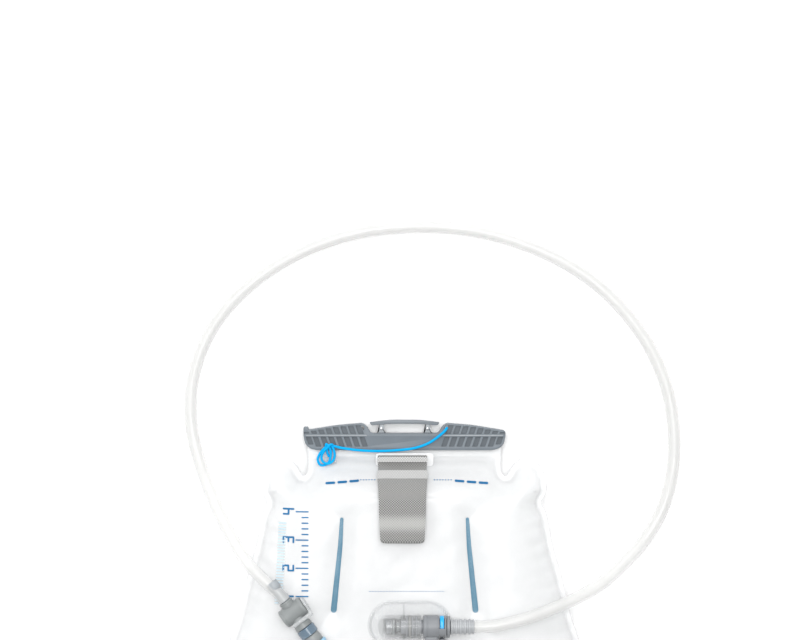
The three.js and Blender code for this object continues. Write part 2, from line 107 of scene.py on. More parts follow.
# Half of the bag's outline, from the middle of the mouth round the right side to the bottom.
OUTLINE = (
    (0.0, 0.088),
    (0.0735, 0.088),
    (0.0736, 0.079),
    (0.0737, 0.066),
    (0.0768, 0.063),
    (0.082, 0.0705),
    (0.091, 0.0768),
    (0.100, 0.073),
    (0.1055, 0.066),
    (0.107, 0.050),
    (0.1035, 0.044),
    (0.107, 0.036),
    (0.1126, 0.009),
    (0.118, -0.009),
    (0.126, -0.042),
    (0.134, -0.066),
    (0.138, -0.080),
    (0.136, -0.093),
    (0.128, -0.102),
    (0.114, -0.1057),
    (0.0, -0.1057),
)

# The drink tube's route, as in the CAD part, from the connector round to the shut-off valve.
TUBE_ROUTE = (
    (0.052, -0.0463, 0.0526),
    (0.064, -0.046, 0.0526),
    (0.078, -0.0435, 0.0516),
    (0.097, -0.0385, 0.049),
    (0.115, -0.032, 0.044),
    (0.135, -0.024, 0.0345),
    (0.149, -0.0165, 0.027),
    (0.163, -0.0055, 0.0185),
    (0.181, 0.012, 0.009),
    (0.1968, 0.0376, 0.005),
    (0.2048, 0.069, 0.005),
    (0.2052, 0.1013, 0.005),
    (0.1992, 0.1325, 0.005),
    (0.1868, 0.1612, 0.005),
    (0.1692, 0.1862, 0.005),
    (0.1483, 0.2072, 0.005),
    (0.1247, 0.2238, 0.005),
    (0.0997, 0.2359, 0.005),
    (0.0741, 0.2448, 0.005),
    (0.0481, 0.2504, 0.005),
    (0.0218, 0.2527, 0.005),
    (-0.0048, 0.2522, 0.005),
    (-0.032, 0.2488, 0.005),
    (-0.0592, 0.2414, 0.005),
    (-0.086, 0.2297, 0.005),
    (-0.1118, 0.2134, 0.005),
    (-0.1349, 0.1917, 0.005),
    (-0.1524, 0.1646, 0.005),
    (-0.162, 0.1337, 0.005),
    (-0.1624, 0.1013, 0.005),
    (-0.155, 0.0702, 0.0085),
    (-0.1431, 0.042, 0.020),
    (-0.128, 0.0155, 0.036),
    (-0.1149, -0.0022, 0.0455),
    (-0.1015, -0.015, 0.0496),
    (-0.094, -0.0214, 0.0506),
    (-0.0892, -0.0271, 0.0506),
)

# The tether's route, as in the CAD part, from the hole in the wing to the eyelet on the neck.
TETHER_ROUTE = (
    (0.0322, 0.0996, 0.013),
    (0.0306, 0.0974, 0.0152),
    (0.0238, 0.0917, 0.0152),
    (0.0178, 0.0879, 0.0152),
    (0.0079, 0.0844, 0.0152),
    (-0.0034, 0.0829, 0.0152),
    (-0.0148, 0.0822, 0.0152),
    (-0.0262, 0.0822, 0.0152),
    (-0.0375, 0.083, 0.0152),
    (-0.0482, 0.0846, 0.0152),
    (-0.0542, 0.086, 0.0152),
    (-0.0576, 0.0862, 0.0152),
    (-0.0588, 0.082, 0.0151),
    (-0.0574, 0.0778, 0.014),
)


# ---------- curves and fields ----------
def smooth(low, high, value):
    t = np.clip((value - low) / (high - low), 0, 1)
    return t * t * (3 - 2 * t)


def mix(a, b, t):
    return a + (b - a) * t


def rounded_route(points, count, closed=False):
    """A centripetal Catmull-Rom curve through the points, resampled to count even steps."""
    p = np.array(points, float)
    if closed:
        p = np.vstack([p[-1], p, p[0], p[1]])
    else:
        p = np.vstack([2 * p[0] - p[1], p, 2 * p[-1] - p[-2]])
    dense = []
    for a, b, c, d in zip(p, p[1:], p[2:], p[3:]):
        t1 = np.linalg.norm(b - a) ** 0.5
        t2 = t1 + np.linalg.norm(c - b) ** 0.5
        t3 = t2 + np.linalg.norm(d - c) ** 0.5
        t = np.linspace(t1, t2, 24, endpoint=False)[:, None]
        ab = mix(a, b, t / t1)
        bc = mix(b, c, (t - t1) / (t2 - t1))
        cd = mix(c, d, (t - t2) / (t3 - t2))
        dense.append(mix(mix(ab, bc, t / t2), mix(bc, cd, (t - t1) / (t3 - t1)), (t - t1) / (t2 - t1)))
    dense = np.vstack([*dense, p[-2][None]])
    along = np.r_[0, np.cumsum(np.linalg.norm(np.diff(dense, axis=0), axis=1))]
    wanted = np.linspace(0, along[-1], count + 1)
    even = np.column_stack([np.interp(wanted, along, dense[:, k]) for k in range(dense.shape[1])])
    return even[:-1] if closed else even


def to_segment(x, y, a, b):
    """Distance from each (x, y) to the segment a to b, and the share of the way along it."""
    a, b = np.array(a), np.array(b)
    d = b - a
    t = np.clip(((x - a[0]) * d[0] + (y - a[1]) * d[1]) / (d @ d), 0, 1)
    return np.hypot(x - a[0] - t * d[0], y - a[1] - t * d[1]), t


def ripple(x, y, seed, size):
    """A smooth, repeatable unevenness between about -1 and 1, with waves of about the given size."""
    draw = np.random.default_rng(seed)
    total = np.zeros_like(x)
    for _ in range(9):
        turn, phase = draw.uniform(0, math.tau, 2)
        wave = math.tau / (size * draw.uniform(0.7, 1.9))
        total += np.sin(wave * (x * math.cos(turn) + y * math.sin(turn)) + phase)
    return total / 4.5


# ---------- mesh helpers ----------
def added(name, data):
    """A new object in the scene, from a mesh, a light or a camera."""
    obj = bpy.data.objects.new(name, data)
    bpy.context.scene.collection.objects.link(obj)
    return obj


def mesh_object(name, vertices, faces):
    mesh = bpy.data.meshes.new(name)
    mesh.from_pydata([tuple(v) for v in vertices], [], [tuple(f) for f in faces])
    mesh.polygons.foreach_set("use_smooth", [True] * len(mesh.polygons))
    mesh.validate()
    bm = bmesh.new()
    bm.from_mesh(mesh)
    bmesh.ops.recalc_face_normals(bm, faces=bm.faces)
    bm.to_mesh(mesh)
    bm.free()
    return added(name, mesh)


def applied(obj, *modifiers):
    """Adds modifiers given as (type, settings), and bakes them into the mesh."""
    for kind, settings in modifiers:
        modifier = obj.modifiers.new(kind.title(), kind)
        for key, value in settings.items():
            setattr(modifier, key, value)
    bpy.context.view_layer.update()
    evaluated = obj.evaluated_get(bpy.context.evaluated_depsgraph_get())
    mesh = bpy.data.meshes.new_from_object(evaluated)
    obj.modifiers.clear()
    obj.data = mesh
    mesh.name = obj.name
    return obj


def shade(obj, degrees=38):
    """Smooth faces with hard creases only where the surface turns sharply."""
    obj.data.polygons.foreach_set("use_smooth", [True] * len(obj.data.polygons))
    obj.data.set_sharp_from_angle(angle=math.radians(degrees))
    return obj


def combined(obj, others, operation="UNION"):
    for other in others:
        applied(obj, ("BOOLEAN", {"object": other, "operation": operation, "solver": "EXACT"}))
        bpy.data.objects.remove(other)
    return obj


def softened(obj, width, segments=2, degrees=35):
    bevel = {
        "width": width,
        "segments": segments,
        "limit_method": "ANGLE",
        "angle_limit": math.radians(degrees),
        "harden_normals": False,
    }
    return shade(applied(obj, ("BEVEL", bevel)))


def turned(name, profile, origin, axis, sides=64):
    """A closed solid of revolution from a closed (along, radius) profile, about axis through origin."""
    axis = Vector(axis).normalized()
    turn = Vector((1, 0, 0)).rotation_difference(axis).to_matrix()
    where = Matrix.Translation(Vector(origin)) @ turn.to_4x4()
    vertices, rings = [], []
    for along, radius in profile:
        if radius < TOUCHING:
            rings.append([len(vertices)])
            vertices.append(where @ Vector((along, 0, 0)))
            continue
        rings.append(list(range(len(vertices), len(vertices) + sides)))
        for k in range(sides):
            a = math.tau * k / sides
            vertices.append(where @ Vector((along, radius * math.cos(a), radius * math.sin(a))))
    faces = []
    for low, high in zip(rings, rings[1:] + rings[:1]):
        for k in range(sides):
            n = (k + 1) % sides
            corner = [low[k % len(low)], low[n % len(low)], high[n % len(high)], high[k % len(high)]]
            face = list(dict.fromkeys(corner))
            if len(face) > 2:
                faces.append(face)
    return shade(mesh_object(name, vertices, faces))


def filleted(points, radius, steps=4):
    """The (u, v) points with each corner rounded; a point may carry its own radius as a third number."""
    done = []
    for i, corner in enumerate(points):
        here = Vector(corner[:2])
        before = Vector(points[i - 1][:2]) - here
        after = Vector(points[(i + 1) % len(points)][:2]) - here
        own = corner[2] if len(corner) > 2 else radius
        reach = min(own, before.length * 0.45, after.length * 0.45)
        start, end = here + before.normalized() * reach, here + after.normalized() * reach
        for k in range(steps + 1):
            t = k / steps
            done.append(tuple(start * (1 - t) ** 2 + here * 2 * t * (1 - t) + end * t * t))
    return done


def plate(name, outline, low, high, edge=0.0, segments=3):
    """A flat (x, y) outline raised from z low to z high, with rounded top and bottom edges."""
    mesh = bpy.data.meshes.new(name)
    bm = bmesh.new()
    face = bm.faces.new([bm.verts.new((x, y, low)) for x, y in outline])
    raised = bmesh.ops.extrude_face_region(bm, geom=[face])
    lifted = [g for g in raised["geom"] if isinstance(g, bmesh.types.BMVert)]
    bmesh.ops.translate(bm, verts=lifted, vec=(0, 0, high - low))
    bmesh.ops.recalc_face_normals(bm, faces=bm.faces)
    if edge:
        rim = [e for e in bm.edges if abs(e.verts[0].co.z - e.verts[1].co.z) < 1e-9]
        bmesh.ops.bevel(bm, geom=rim, offset=edge, segments=segments, profile=0.5, affect="EDGES")
    bm.to_mesh(mesh)
    bm.free()
    return shade(added(name, mesh))


def oblong(low, high):
    return [(low[0], low[1]), (high[0], low[1]), (high[0], high[1]), (low[0], high[1])]


def block(name, low, high, edge=0.0):
    return plate(name, oblong(low, high), low[2], high[2], edge)


def tube_rings(route, radius, sides, inner=None):
    """Vertices and faces of a tube along a route, closed at both ends, or hollow when inner is given."""
    radii = [radius] * len(route) if np.isscalar(radius) else list(radius)
    tangents = np.gradient(route, axis=0)
    tangents /= np.linalg.norm(tangents, axis=1)[:, None]
    side = np.cross(tangents[0], (0, 0, 1.0))
    vertices, faces = [], []
    layers = [radii] if inner is None else [radii, [inner] * len(route)]
    frames = []
    for tangent in tangents:
        side = side - tangent * (side @ tangent)
        side /= np.linalg.norm(side)
        frames.append((side.copy(), np.cross(tangent, side)))
    for layer in layers:
        for point, (u, v), r in zip(route, frames, layer):
            for k in range(sides):
                a = math.tau * k / sides
                vertices.append(point + r * (u * math.cos(a) + v * math.sin(a)))
    count = len(route)
    for part in range(len(layers)):
        base = part * count * sides
        for i in range(count - 1):
            for k in range(sides):
                n = (k + 1) % sides
                low, high = base + i * sides, base + (i + 1) * sides
                quad = [low + k, low + n, high + n, high + k]
                faces.append(quad if part == 0 else quad[::-1])
    for e in (0, (count - 1) * sides):
        if inner is None:
            faces.append([e + k for k in range(sides)])
        else:
            base = count * sides + e
            faces += [[e + k, e + (k + 1) % sides, base + (k + 1) % sides, base + k] for k in range(sides)]
    return vertices, faces


def tube(name, route, radius, sides=16, inner=None):
    return shade(mesh_object(name, *tube_rings(np.array(route), radius, sides, inner)), 50)


# ---------- shared finishes ----------
def new_group(name, inputs, outputs):
    """A shader node group with float inputs (name, default) and outputs (name, socket type)."""
    group = bpy.data.node_groups.new(name, "ShaderNodeTree")
    for label, value in inputs:
        socket = group.interface.new_socket(label, in_out="INPUT", socket_type="NodeSocketFloat")
        socket.default_value = value
    for label, kind in outputs:
        group.interface.new_socket(label, in_out="OUTPUT", socket_type=kind)
    return group, group.nodes.new("NodeGroupInput"), group.nodes.new("NodeGroupOutput")


def node(tree, kind, inputs=(), **settings):
    """Adds a node; inputs are (socket, value or output socket) pairs."""
    made = tree.nodes.new("ShaderNode" + kind)
    for key, value in settings.items():
        setattr(made, key, value)
    for socket, value in inputs:
        if isinstance(value, bpy.types.NodeSocket):
            tree.links.new(value, made.inputs[socket])
        else:
            made.inputs[socket].default_value = value
    return made


def maths(tree, operation, first, second):
    return node(tree, "Math", [(0, first), (1, second)], operation=operation).outputs[0]


def scaled_place(tree, scale):
    place = node(tree, "TexCoord").outputs["Object"]
    return node(tree, "VectorMath", [(0, place), ("Scale", scale)], operation="SCALE").outputs[0]


def part_of_place(tree):
    """The X, Y and Z outputs of a point on the piece."""
    return node(tree, "SeparateXYZ", [(0, node(tree, "TexCoord").outputs["Object"])]).outputs


def noise(tree, fineness, detail):
    """Noise over a piece, finer as the fineness rises."""
    spot = scaled_place(tree, fineness)
    return node(tree, "TexNoise", [("Vector", spot), ("Scale", 1.0), ("Detail", detail)]).outputs["Fac"]


def waves(tree, along, rate):
    """A sine wave along a coordinate, with this many waves to the metre."""
    turns = maths(tree, "MULTIPLY", along, rate)
    return maths(tree, "SINE", maths(tree, "MULTIPLY", turns, math.tau), 0.0)


def moulding_group():
    """Fine spark-eroded grain with broad, faint flow marks: a tone, a roughness change and a height."""
    tree, given, result = new_group(
        "moulding_grain",
        [("Grain", 2600.0), ("Flow", 60.0), ("Depth", 0.4)],
        [("Tone", "NodeSocketFloat"), ("Rough", "NodeSocketFloat"), ("Height", "NodeSocketFloat")],
    )
    grain = noise(tree, given.outputs["Grain"], 2.0)
    flow = noise(tree, given.outputs["Flow"], 3.0)
    tree.links.new(flow, result.inputs["Tone"])
    both = maths(tree, "ADD", grain, flow)
    tree.links.new(maths(tree, "MULTIPLY", both, 0.5), result.inputs["Rough"])
    tree.links.new(maths(tree, "MULTIPLY", grain, given.outputs["Depth"]), result.inputs["Height"])
    return tree


def film_group():
    """Blown film: long faint draw lines, a fine frost and soft cloudy haze."""
    tree, given, result = new_group(
        "film_haze",
        [("Frost", 3200.0), ("Cloud", 26.0), ("Draw", 140.0)],
        [("Cloud", "NodeSocketFloat"), ("Rough", "NodeSocketFloat"), ("Height", "NodeSocketFloat")],
    )
    frost = noise(tree, given.outputs["Frost"], 1.0)
    cloud = noise(tree, given.outputs["Cloud"], 4.0)
    spot = maths(tree, "MULTIPLY", part_of_place(tree)["X"], given.outputs["Draw"])
    line = node(tree, "TexNoise", [("W", spot), ("Scale", 1.0)], noise_dimensions="1D")
    tree.links.new(cloud, result.inputs["Cloud"])
    tree.links.new(maths(tree, "MULTIPLY", frost, cloud), result.inputs["Rough"])
    fine = maths(tree, "MULTIPLY", frost, 0.3)
    tree.links.new(maths(tree, "ADD", fine, line.outputs["Fac"]), result.inputs["Height"])
    return tree


def weave_group():
    """Webbing: staggered floats over lengthwise yarns, with a little fuzz."""
    tree, given, result = new_group(
        "webbing_weave",
        [("Yarn", 900.0), ("Twill", 520.0), ("Fuzz", 5000.0)],
        [("Thread", "NodeSocketFloat"), ("Fuzz", "NodeSocketFloat"), ("Height", "NodeSocketFloat")],
    )
    part = part_of_place(tree)
    length = maths(tree, "ADD", part["Y"], maths(tree, "MULTIPLY", part["Z"], -0.6))
    yarn = waves(tree, part["X"], given.outputs["Yarn"])
    twill = waves(tree, part["X"], given.outputs["Twill"])
    cross = waves(tree, length, given.outputs["Twill"])
    check = maths(tree, "MULTIPLY", twill, cross)
    thread = node(tree, "Math", [(0, check), (1, 0.5), (2, 0.5)], operation="MULTIPLY_ADD").outputs[0]
    tree.links.new(thread, result.inputs["Thread"])
    tree.links.new(noise(tree, given.outputs["Fuzz"], 2.0), result.inputs["Fuzz"])
    ridges = maths(tree, "MULTIPLY", yarn, 0.12)
    tree.links.new(maths(tree, "ADD", thread, ridges), result.inputs["Height"])
    return tree


GROUPS = {"moulding": moulding_group(), "film": film_group(), "weave": weave_group()}


def finish_base(name, roughness, metallic=0.0, **sockets):
    material = bpy.data.materials.new(name)
    material.use_nodes = True
    tree = material.node_tree
    shader = tree.nodes["Principled BSDF"]
    shader.inputs["Roughness"].default_value = roughness
    shader.inputs["Metallic"].default_value = metallic
    for socket, value in sockets.items():
        shader.inputs[socket.replace("_", " ")].default_value = value
    return material, tree, shader


def effect(tree, kind, **values):
    made = tree.nodes.new("ShaderNodeGroup")
    made.node_tree = GROUPS[kind]
    for label, value in values.items():
        made.inputs[label].default_value = value
    return made.outputs


def toned(tree, shader, factor, dark, light):
    """Base colour that wanders between two tones of the same finish."""
    blend = node(tree, "MixRGB", [("Fac", factor), ("Color1", (*dark, 1)), ("Color2", (*light, 1))])
    tree.links.new(blend.outputs[0], shader.inputs["Base Color"])


def roughened(tree, shader, factor, low, high):
    spread = node(tree, "MapRange", [("Value", factor), ("To Min", low), ("To Max", high)])
    tree.links.new(spread.outputs[0], shader.inputs["Roughness"])


def embossed(tree, shader, height, distance, strength):
    bump = node(tree, "Bump", [("Height", height), ("Distance", distance), ("Strength", strength)])
    tree.links.new(bump.outputs[0], shader.inputs["Normal"])


def moulded(name, dark, light, rough=(0.38, 0.55), depth=0.5, alpha=1.0, grain=2600.0, **sockets):
    material, tree, shader = finish_base(name, rough[0], **sockets)
    marks = effect(tree, "moulding", Grain=grain, Depth=depth)
    toned(tree, shader, marks["Tone"], dark, light)
    roughened(tree, shader, marks["Rough"], *rough)
    embossed(tree, shader, marks["Height"], 0.0001, 0.35)
    shader.inputs["Alpha"].default_value = alpha
    return material


def film(name, dark, light, alpha, rough=(0.22, 0.42)):
    """Frosted film: mostly see-through, denser where the haze is thick."""
    material, tree, shader = finish_base(name, rough[0], Coat_Weight=0.25, Coat_Roughness=0.12)
    haze = effect(tree, "film")
    toned(tree, shader, haze["Cloud"], dark, light)
    roughened(tree, shader, haze["Rough"], *rough)
    embossed(tree, shader, haze["Height"], 0.0002, 0.25)
    density = node(tree, "MapRange", [("Value", haze["Cloud"]), ("To Min", alpha[0]), ("To Max", alpha[1])])
    tree.links.new(density.outputs[0], shader.inputs["Alpha"])
    return material


def woven(name, dark, light, yarn=900.0, twill=520.0, height=0.00016, band=None):
    """Webbing; band is the (y, half width) of a painted sheen: a paler stretch where the strap bends and
    catches the light.
    """
    material, tree, shader = finish_base(name, 0.8, Sheen_Weight=0.25, Sheen_Roughness=0.5)
    cloth = effect(tree, "weave", Yarn=yarn, Twill=twill)
    tone = maths(tree, "MULTIPLY", cloth["Thread"], maths(tree, "ADD", cloth["Fuzz"], 0.5))
    # The band paints a highlight into the tone, palest at its middle line, where the bent strap catches the
    # light.
    if band:
        middle, half_width = band
        along = part_of_place(tree)["Y"]
        off = maths(tree, "ABSOLUTE", maths(tree, "SUBTRACT", along, middle), 0.0)
        painted_sheen_fade = [("Value", off), ("From Min", 0.0), ("From Max", half_width), ("To Min", 0.55),
                ("To Max", 0.0)]
        near = node(tree, "MapRange", painted_sheen_fade, interpolation_type="SMOOTHSTEP")
        tone = maths(tree, "ADD", tone, near.outputs[0])
    toned(tree, shader, tone, dark, light)
    roughened(tree, shader, cloth["Fuzz"], 0.7, 0.95)
    embossed(tree, shader, cloth["Height"], height, 0.7)
    return material


def metal(name, dark, light):
    material, tree, shader = finish_base(name, 0.3, metallic=1.0)
    marks = effect(tree, "moulding", Grain=1800.0, Depth=0.2)
    toned(tree, shader, marks["Tone"], dark, light)
    roughened(tree, shader, marks["Rough"], 0.2, 0.4)
    return material


# Each finish of the pieces: its slot in the table, and its material.
FINISHES = {
    "film": ("film", film("bag_film", (0.955, 0.965, 0.972), (0.98, 0.985, 0.99), (0.38, 0.50))),
    "weld": ("film", film("welded_edge", (0.86, 0.88, 0.89), (0.93, 0.94, 0.95), (0.55, 0.70),
                          rough=(0.15, 0.3))),
    "clear": ("moulded_clear", moulded("clear_moulding", (0.72, 0.74, 0.75), (0.84, 0.86, 0.87),
                                       rough=(0.06, 0.14), depth=0.1, alpha=0.12, Coat_Weight=0.6,
                                       Coat_Roughness=0.05)),
    "lever": ("moulded_clear", moulded("clear_lever", (0.60, 0.62, 0.63), (0.74, 0.76, 0.77),
                                       rough=(0.06, 0.14), depth=0.1, alpha=0.42, Coat_Weight=0.6,
                                       Coat_Roughness=0.05)),
    "smoke": ("moulded_clear", moulded("smoky_collar", (0.10, 0.17, 0.24), (0.22, 0.30, 0.38),
                                       rough=(0.08, 0.16), depth=0.1, alpha=0.72, Coat_Weight=0.6,
                                       Coat_Roughness=0.05)),
    "slide": ("slide_grey", moulded("slide_plastic", (0.125, 0.150, 0.172), (0.165, 0.192, 0.218))),
    # A darker copy of the slide plastic for plates on the pockets' floors: painted shade in the recesses.
    "slide_painted_shade": ("slide_grey", moulded("slide_pocket_painted_shade_plastic", (0.068, 0.086, 0.104), (0.105, 0.124, 0.142),
                                         rough=(0.4, 0.6))),
    # A paler copy of the slide plastic for the ridges along the spine: painted highlight on the crease.
    "slide_painted_highlight": ("slide_grey", moulded("slide_ridge_painted_highlight_plastic", (0.25, 0.275, 0.295), (0.31, 0.335, 0.355),
                                          rough=(0.3, 0.45))),
    "handle": ("slide_grey", moulded("handle_plastic", (0.16, 0.18, 0.20), (0.21, 0.235, 0.26),
                                     rough=(0.42, 0.6))),
    "post": ("slide_grey", moulded("pale_post", (0.30, 0.325, 0.345), (0.38, 0.405, 0.425))),
    "connector": ("connector_grey", moulded("connector_plastic", (0.19, 0.20, 0.215), (0.25, 0.262, 0.278),
                                            rough=(0.35, 0.5))),
    "boot": ("connector_grey", moulded("boot_rubber", (0.36, 0.375, 0.39), (0.45, 0.465, 0.48),
                                       rough=(0.3, 0.45))),
    "valve": ("valve_grey", moulded("valve_plastic", (0.22, 0.238, 0.24), (0.29, 0.305, 0.305),
                                    rough=(0.35, 0.5))),
    "cyan": ("cyan", moulded("cyan_plastic", (0.0, 0.38, 0.80), (0.01, 0.47, 0.90), rough=(0.28, 0.4),
                             Coat_Weight=0.2)),
    "cord": ("cyan_cord", moulded("cyan_cord", (0.0, 0.34, 0.72), (0.0, 0.43, 0.84), rough=(0.55, 0.7),
                                  grain=5200.0, Specular_IOR_Level=0.15)),
    # The webbing has a painted sheen band across the flap, where it bends.
    "web": ("webbing", woven("strap_webbing", (0.055, 0.055, 0.053), (0.44, 0.44, 0.43),
                             band=(0.0300, 0.0085))),
    # A paler copy of the webbing for the hem, the top fold and the stitches; on the hem and the fold it is a
    # painted highlight where the webbing curls over.
    "hem": ("webbing", woven("strap_hem_painted_highlight", (0.22, 0.22, 0.218), (0.72, 0.72, 0.71))),
    "tape": ("hook_loop", woven("hook_and_loop", (0.24, 0.24, 0.23), (0.40, 0.40, 0.39), yarn=1400.0,
                                twill=1100.0, height=0.0003)),
    "seal": ("seal", moulded("seal_rubber", (0.015, 0.016, 0.017), (0.04, 0.04, 0.042), rough=(0.4, 0.6))),
    "grey_seal": ("seal", moulded("grey_seal", (0.20, 0.20, 0.19), (0.28, 0.28, 0.27), rough=(0.4, 0.6))),
    "hose": ("hose", moulded("hose_wall", (0.80, 0.80, 0.79), (0.88, 0.88, 0.87), rough=(0.16, 0.3),
                             depth=0.15, alpha=0.36, Coat_Weight=0.3, Coat_Roughness=0.1)),
    "silicone": ("silicone", moulded("white_silicone", (0.78, 0.78, 0.77), (0.88, 0.88, 0.87),
                                     rough=(0.4, 0.55), depth=0.2, Subsurface_Weight=0.15,
                                     Subsurface_Radius=(0.004, 0.004, 0.004))),
    "pale_blue": ("cyan", moulded("pale_blue_ring", (0.30, 0.58, 0.78), (0.42, 0.68, 0.86), rough=(0.3, 0.45),
                                  alpha=0.9)),
    "weld_line": ("film", moulded("weld_line_film", (0.075, 0.195, 0.285), (0.13, 0.28, 0.385),
                                  rough=(0.2, 0.35), alpha=0.9)),
    "print": ("film", moulded("blue_print", (0.0, 0.115, 0.285), (0.0, 0.15, 0.36), rough=(0.35, 0.5))),
    "pale_print": ("film", moulded("pale_print", (0.46, 0.60, 0.67), (0.56, 0.68, 0.74), rough=(0.4, 0.55))),
    "steel": ("steel", metal("bright_steel", (0.52, 0.53, 0.55), (0.66, 0.67, 0.69))),
}


def finish(obj, look):
    """Gives a piece its material."""
    slot, material = FINISHES[look]
    obj.data.materials.clear()
    obj.data.materials.append(material)


def place(obj, look, body, *stands_for):
    """Finishes a piece, and says which body it moves with and which CAD nodes it stands for."""
    finish(obj, look)
    if body:
        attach(obj, body)
    if stands_for:
        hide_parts(*stands_for)


# ---------- stage, light and camera ----------
FLOOR_HALF = 3.0
AIM = Vector((0, 0.05, 0))
# Each lamp's name, place, size and power.
LAMPS = (
    ("overhead", (0.0, 0.5, 2.4), 1.4, 38.0),
    ("left_fill", (-1.9, 0.5, 1.5), 1.2, 10.0),
    ("top_fill", (0.2, 2.2, 1.4), 1.0, 14.0),
)


def stage():
    floor = block("floor", (-FLOOR_HALF, -FLOOR_HALF, -0.02), (FLOOR_HALF, FLOOR_HALF, -0.0002))
    material, _, shader = finish_base("pale_floor", 0.7)
    shader.inputs["Base Color"].default_value = (0.92, 0.92, 0.92, 1)
    floor.data.materials.append(material)
    scene = bpy.context.scene
    scene.view_settings.view_transform = "Standard"
    scene.world = bpy.data.worlds.new("studio")
    scene.world.use_nodes = True
    background = scene.world.node_tree.nodes["Background"]
    background.inputs["Color"].default_value = (1, 1, 1, 1)
    background.inputs["Strength"].default_value = 0.60
    for name, spot, size, watts in LAMPS:
        data = bpy.data.lights.new(name, "AREA")
        data.size, data.energy = size, watts
        lamp = added(name, data)
        lamp.location = spot
        lamp.rotation_euler = (AIM - Vector(spot)).to_track_quat("-Z", "Y").to_euler()


def camera():
    """Straight down from well above, with the bag at the foot of the view and the tube looped over it."""
    data = bpy.data.cameras.new("camera")
    data.sensor_width, data.lens = 36, 105.9
    data.clip_start, data.clip_end = 0.05, 20
    obj = added("camera", data)
    obj.location = (-0.00344, 0.1815, 1.8)
    bpy.context.scene.camera = obj


stage()
camera()


# ---------- cords ----------
HOSE_OUTER = 0.00475
HOSE_INNER = 0.0032
TETHER_RADIUS = 0.001


def drink_tube():
    route = rounded_route(TUBE_ROUTE, 460)
    hose = tube("drink_tube_wall", route, HOSE_OUTER, 32, inner=HOSE_INNER)
    place(hose, "hose", None, "drink_tube")
    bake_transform(hose)
    return hose, route


def tether():
    route = rounded_route(TETHER_ROUTE, 150)
    cord = tube("tether", route, TETHER_RADIUS)
    place(cord, "cord", None, "tether_cord")
    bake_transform(cord)
    return cord, route


hose, hose_route = drink_tube()
tether_cord, tether_route = tether()


# ---------- the film bag ----------
def bag_outline(count=420):
    right = [Vector(p) for p in OUTLINE]
    left = [Vector((-x, y)) for x, y in reversed(OUTLINE[1:-1])]
    return rounded_route([*right, *left], count, closed=True)


EDGE = bag_outline()
EDGE_RUN = np.r_[0, np.cumsum(np.linalg.norm(np.diff(EDGE, axis=0), axis=1))]


def edge_distance(x, y):
    """Distance from each point inside the bag to its outline, and how far round the outline that is."""
    nearest = np.full(x.shape, 1e9)
    run = np.zeros_like(x)
    ends = np.roll(EDGE, -1, axis=0)
    for i, (a, b) in enumerate(zip(EDGE, ends)):
        d, t = to_segment(x, y, a, b)
        closer = d < nearest
        nearest = np.where(closer, d, nearest)
        run = np.where(closer, EDGE_RUN[i] + t * np.linalg.norm(b - a), run)
    return nearest, run


def crown(distance, width):
    """0 at the weld, rising as a quarter of an ellipse to 1 at this width from it."""
    inside = np.clip(distance - FLANGE, 0, width)
    return np.sqrt(1 - (1 - inside / width) ** 2)


def seam_height(y):
    return mix(SEAM_Z, NECK_Z, smooth(0.054, 0.078, y))


# The line on the right where the baffle is welded to the film, and where the port stands.
WELD_TOP = (0.047, 0.0325)
WELD_FOOT = (0.053, -0.0353)
PORT_SPOT = (0.004, BORE_Y)

# Creases in the film, on both sides alike: start, end, half width and height.
CREASES = (
    ((0.088, 0.066), (0.060, 0.036), 0.0040, 0.0012),
    ((0.099, 0.060), (0.074, 0.020), 0.0050, 0.0010),
    ((0.104, 0.047), (0.083, 0.038), 0.0030, -0.0011),
    ((0.078, 0.060), (0.070, 0.046), 0.0032, -0.0009),
    ((0.066, 0.063), (0.058, 0.044), 0.0034, 0.0008),
    ((0.048, 0.036), (0.034, 0.052), 0.0038, 0.0009),
    ((0.047, 0.031), (0.064, 0.047), 0.0038, -0.0008),
    ((0.054, -0.037), (0.072, -0.062), 0.0050, -0.0012),
    ((0.053, -0.037), (0.046, -0.066), 0.0042, -0.0010),
    ((0.110, 0.014), (0.090, 0.010), 0.0040, -0.0010),
    ((0.117, -0.012), (0.096, -0.020), 0.0042, -0.0009),
    ((0.123, -0.036), (0.102, -0.040), 0.0042, -0.0010),
    ((0.130, -0.064), (0.106, -0.060), 0.0046, -0.0011),
    ((0.128, -0.094), (0.102, -0.074), 0.0060, -0.0014),
    ((0.090, -0.101), (0.082, -0.082), 0.0046, -0.0012),
    ((0.050, -0.103), (0.047, -0.084), 0.0046, -0.0010),
    ((0.012, -0.103), (0.014, -0.082), 0.0046, -0.0011),
)


def creases(x, y):
    """A soft ridge along each crease, or a groove where its height is below zero."""
    total = np.zeros_like(x)
    for start, end, width, height in CREASES:
        d, t = to_segment(np.abs(x), y, start, end)
        total += 0.5 * height * np.exp(-((d / width) ** 2)) * np.sin(np.pi * np.clip(t, 0.08, 0.92))
    return total


def puckers(distance, run, seed):
    """Little gathers square to the weld, where a flat sheet is drawn in to a rounded edge."""
    drift = ripple(run, np.zeros_like(run), seed, 0.09)
    wave = np.sin(math.tau * run / 0.0115 + 2.2 * drift) * (0.6 + 0.4 * drift)
    near = np.exp(-((distance - FLANGE - 0.004) / 0.009) ** 2)
    return 0.0007 * wave * near


def dips_at_welds(x, y):
    """The broad hollow and the narrow groove where each baffle holds the film down."""
    d, _ = to_segment(np.abs(x), y, WELD_TOP, WELD_FOOT)
    return -0.0022 * np.exp(-((d / 0.010) ** 2)) - 0.0004 * np.exp(-((d / 0.003) ** 2))


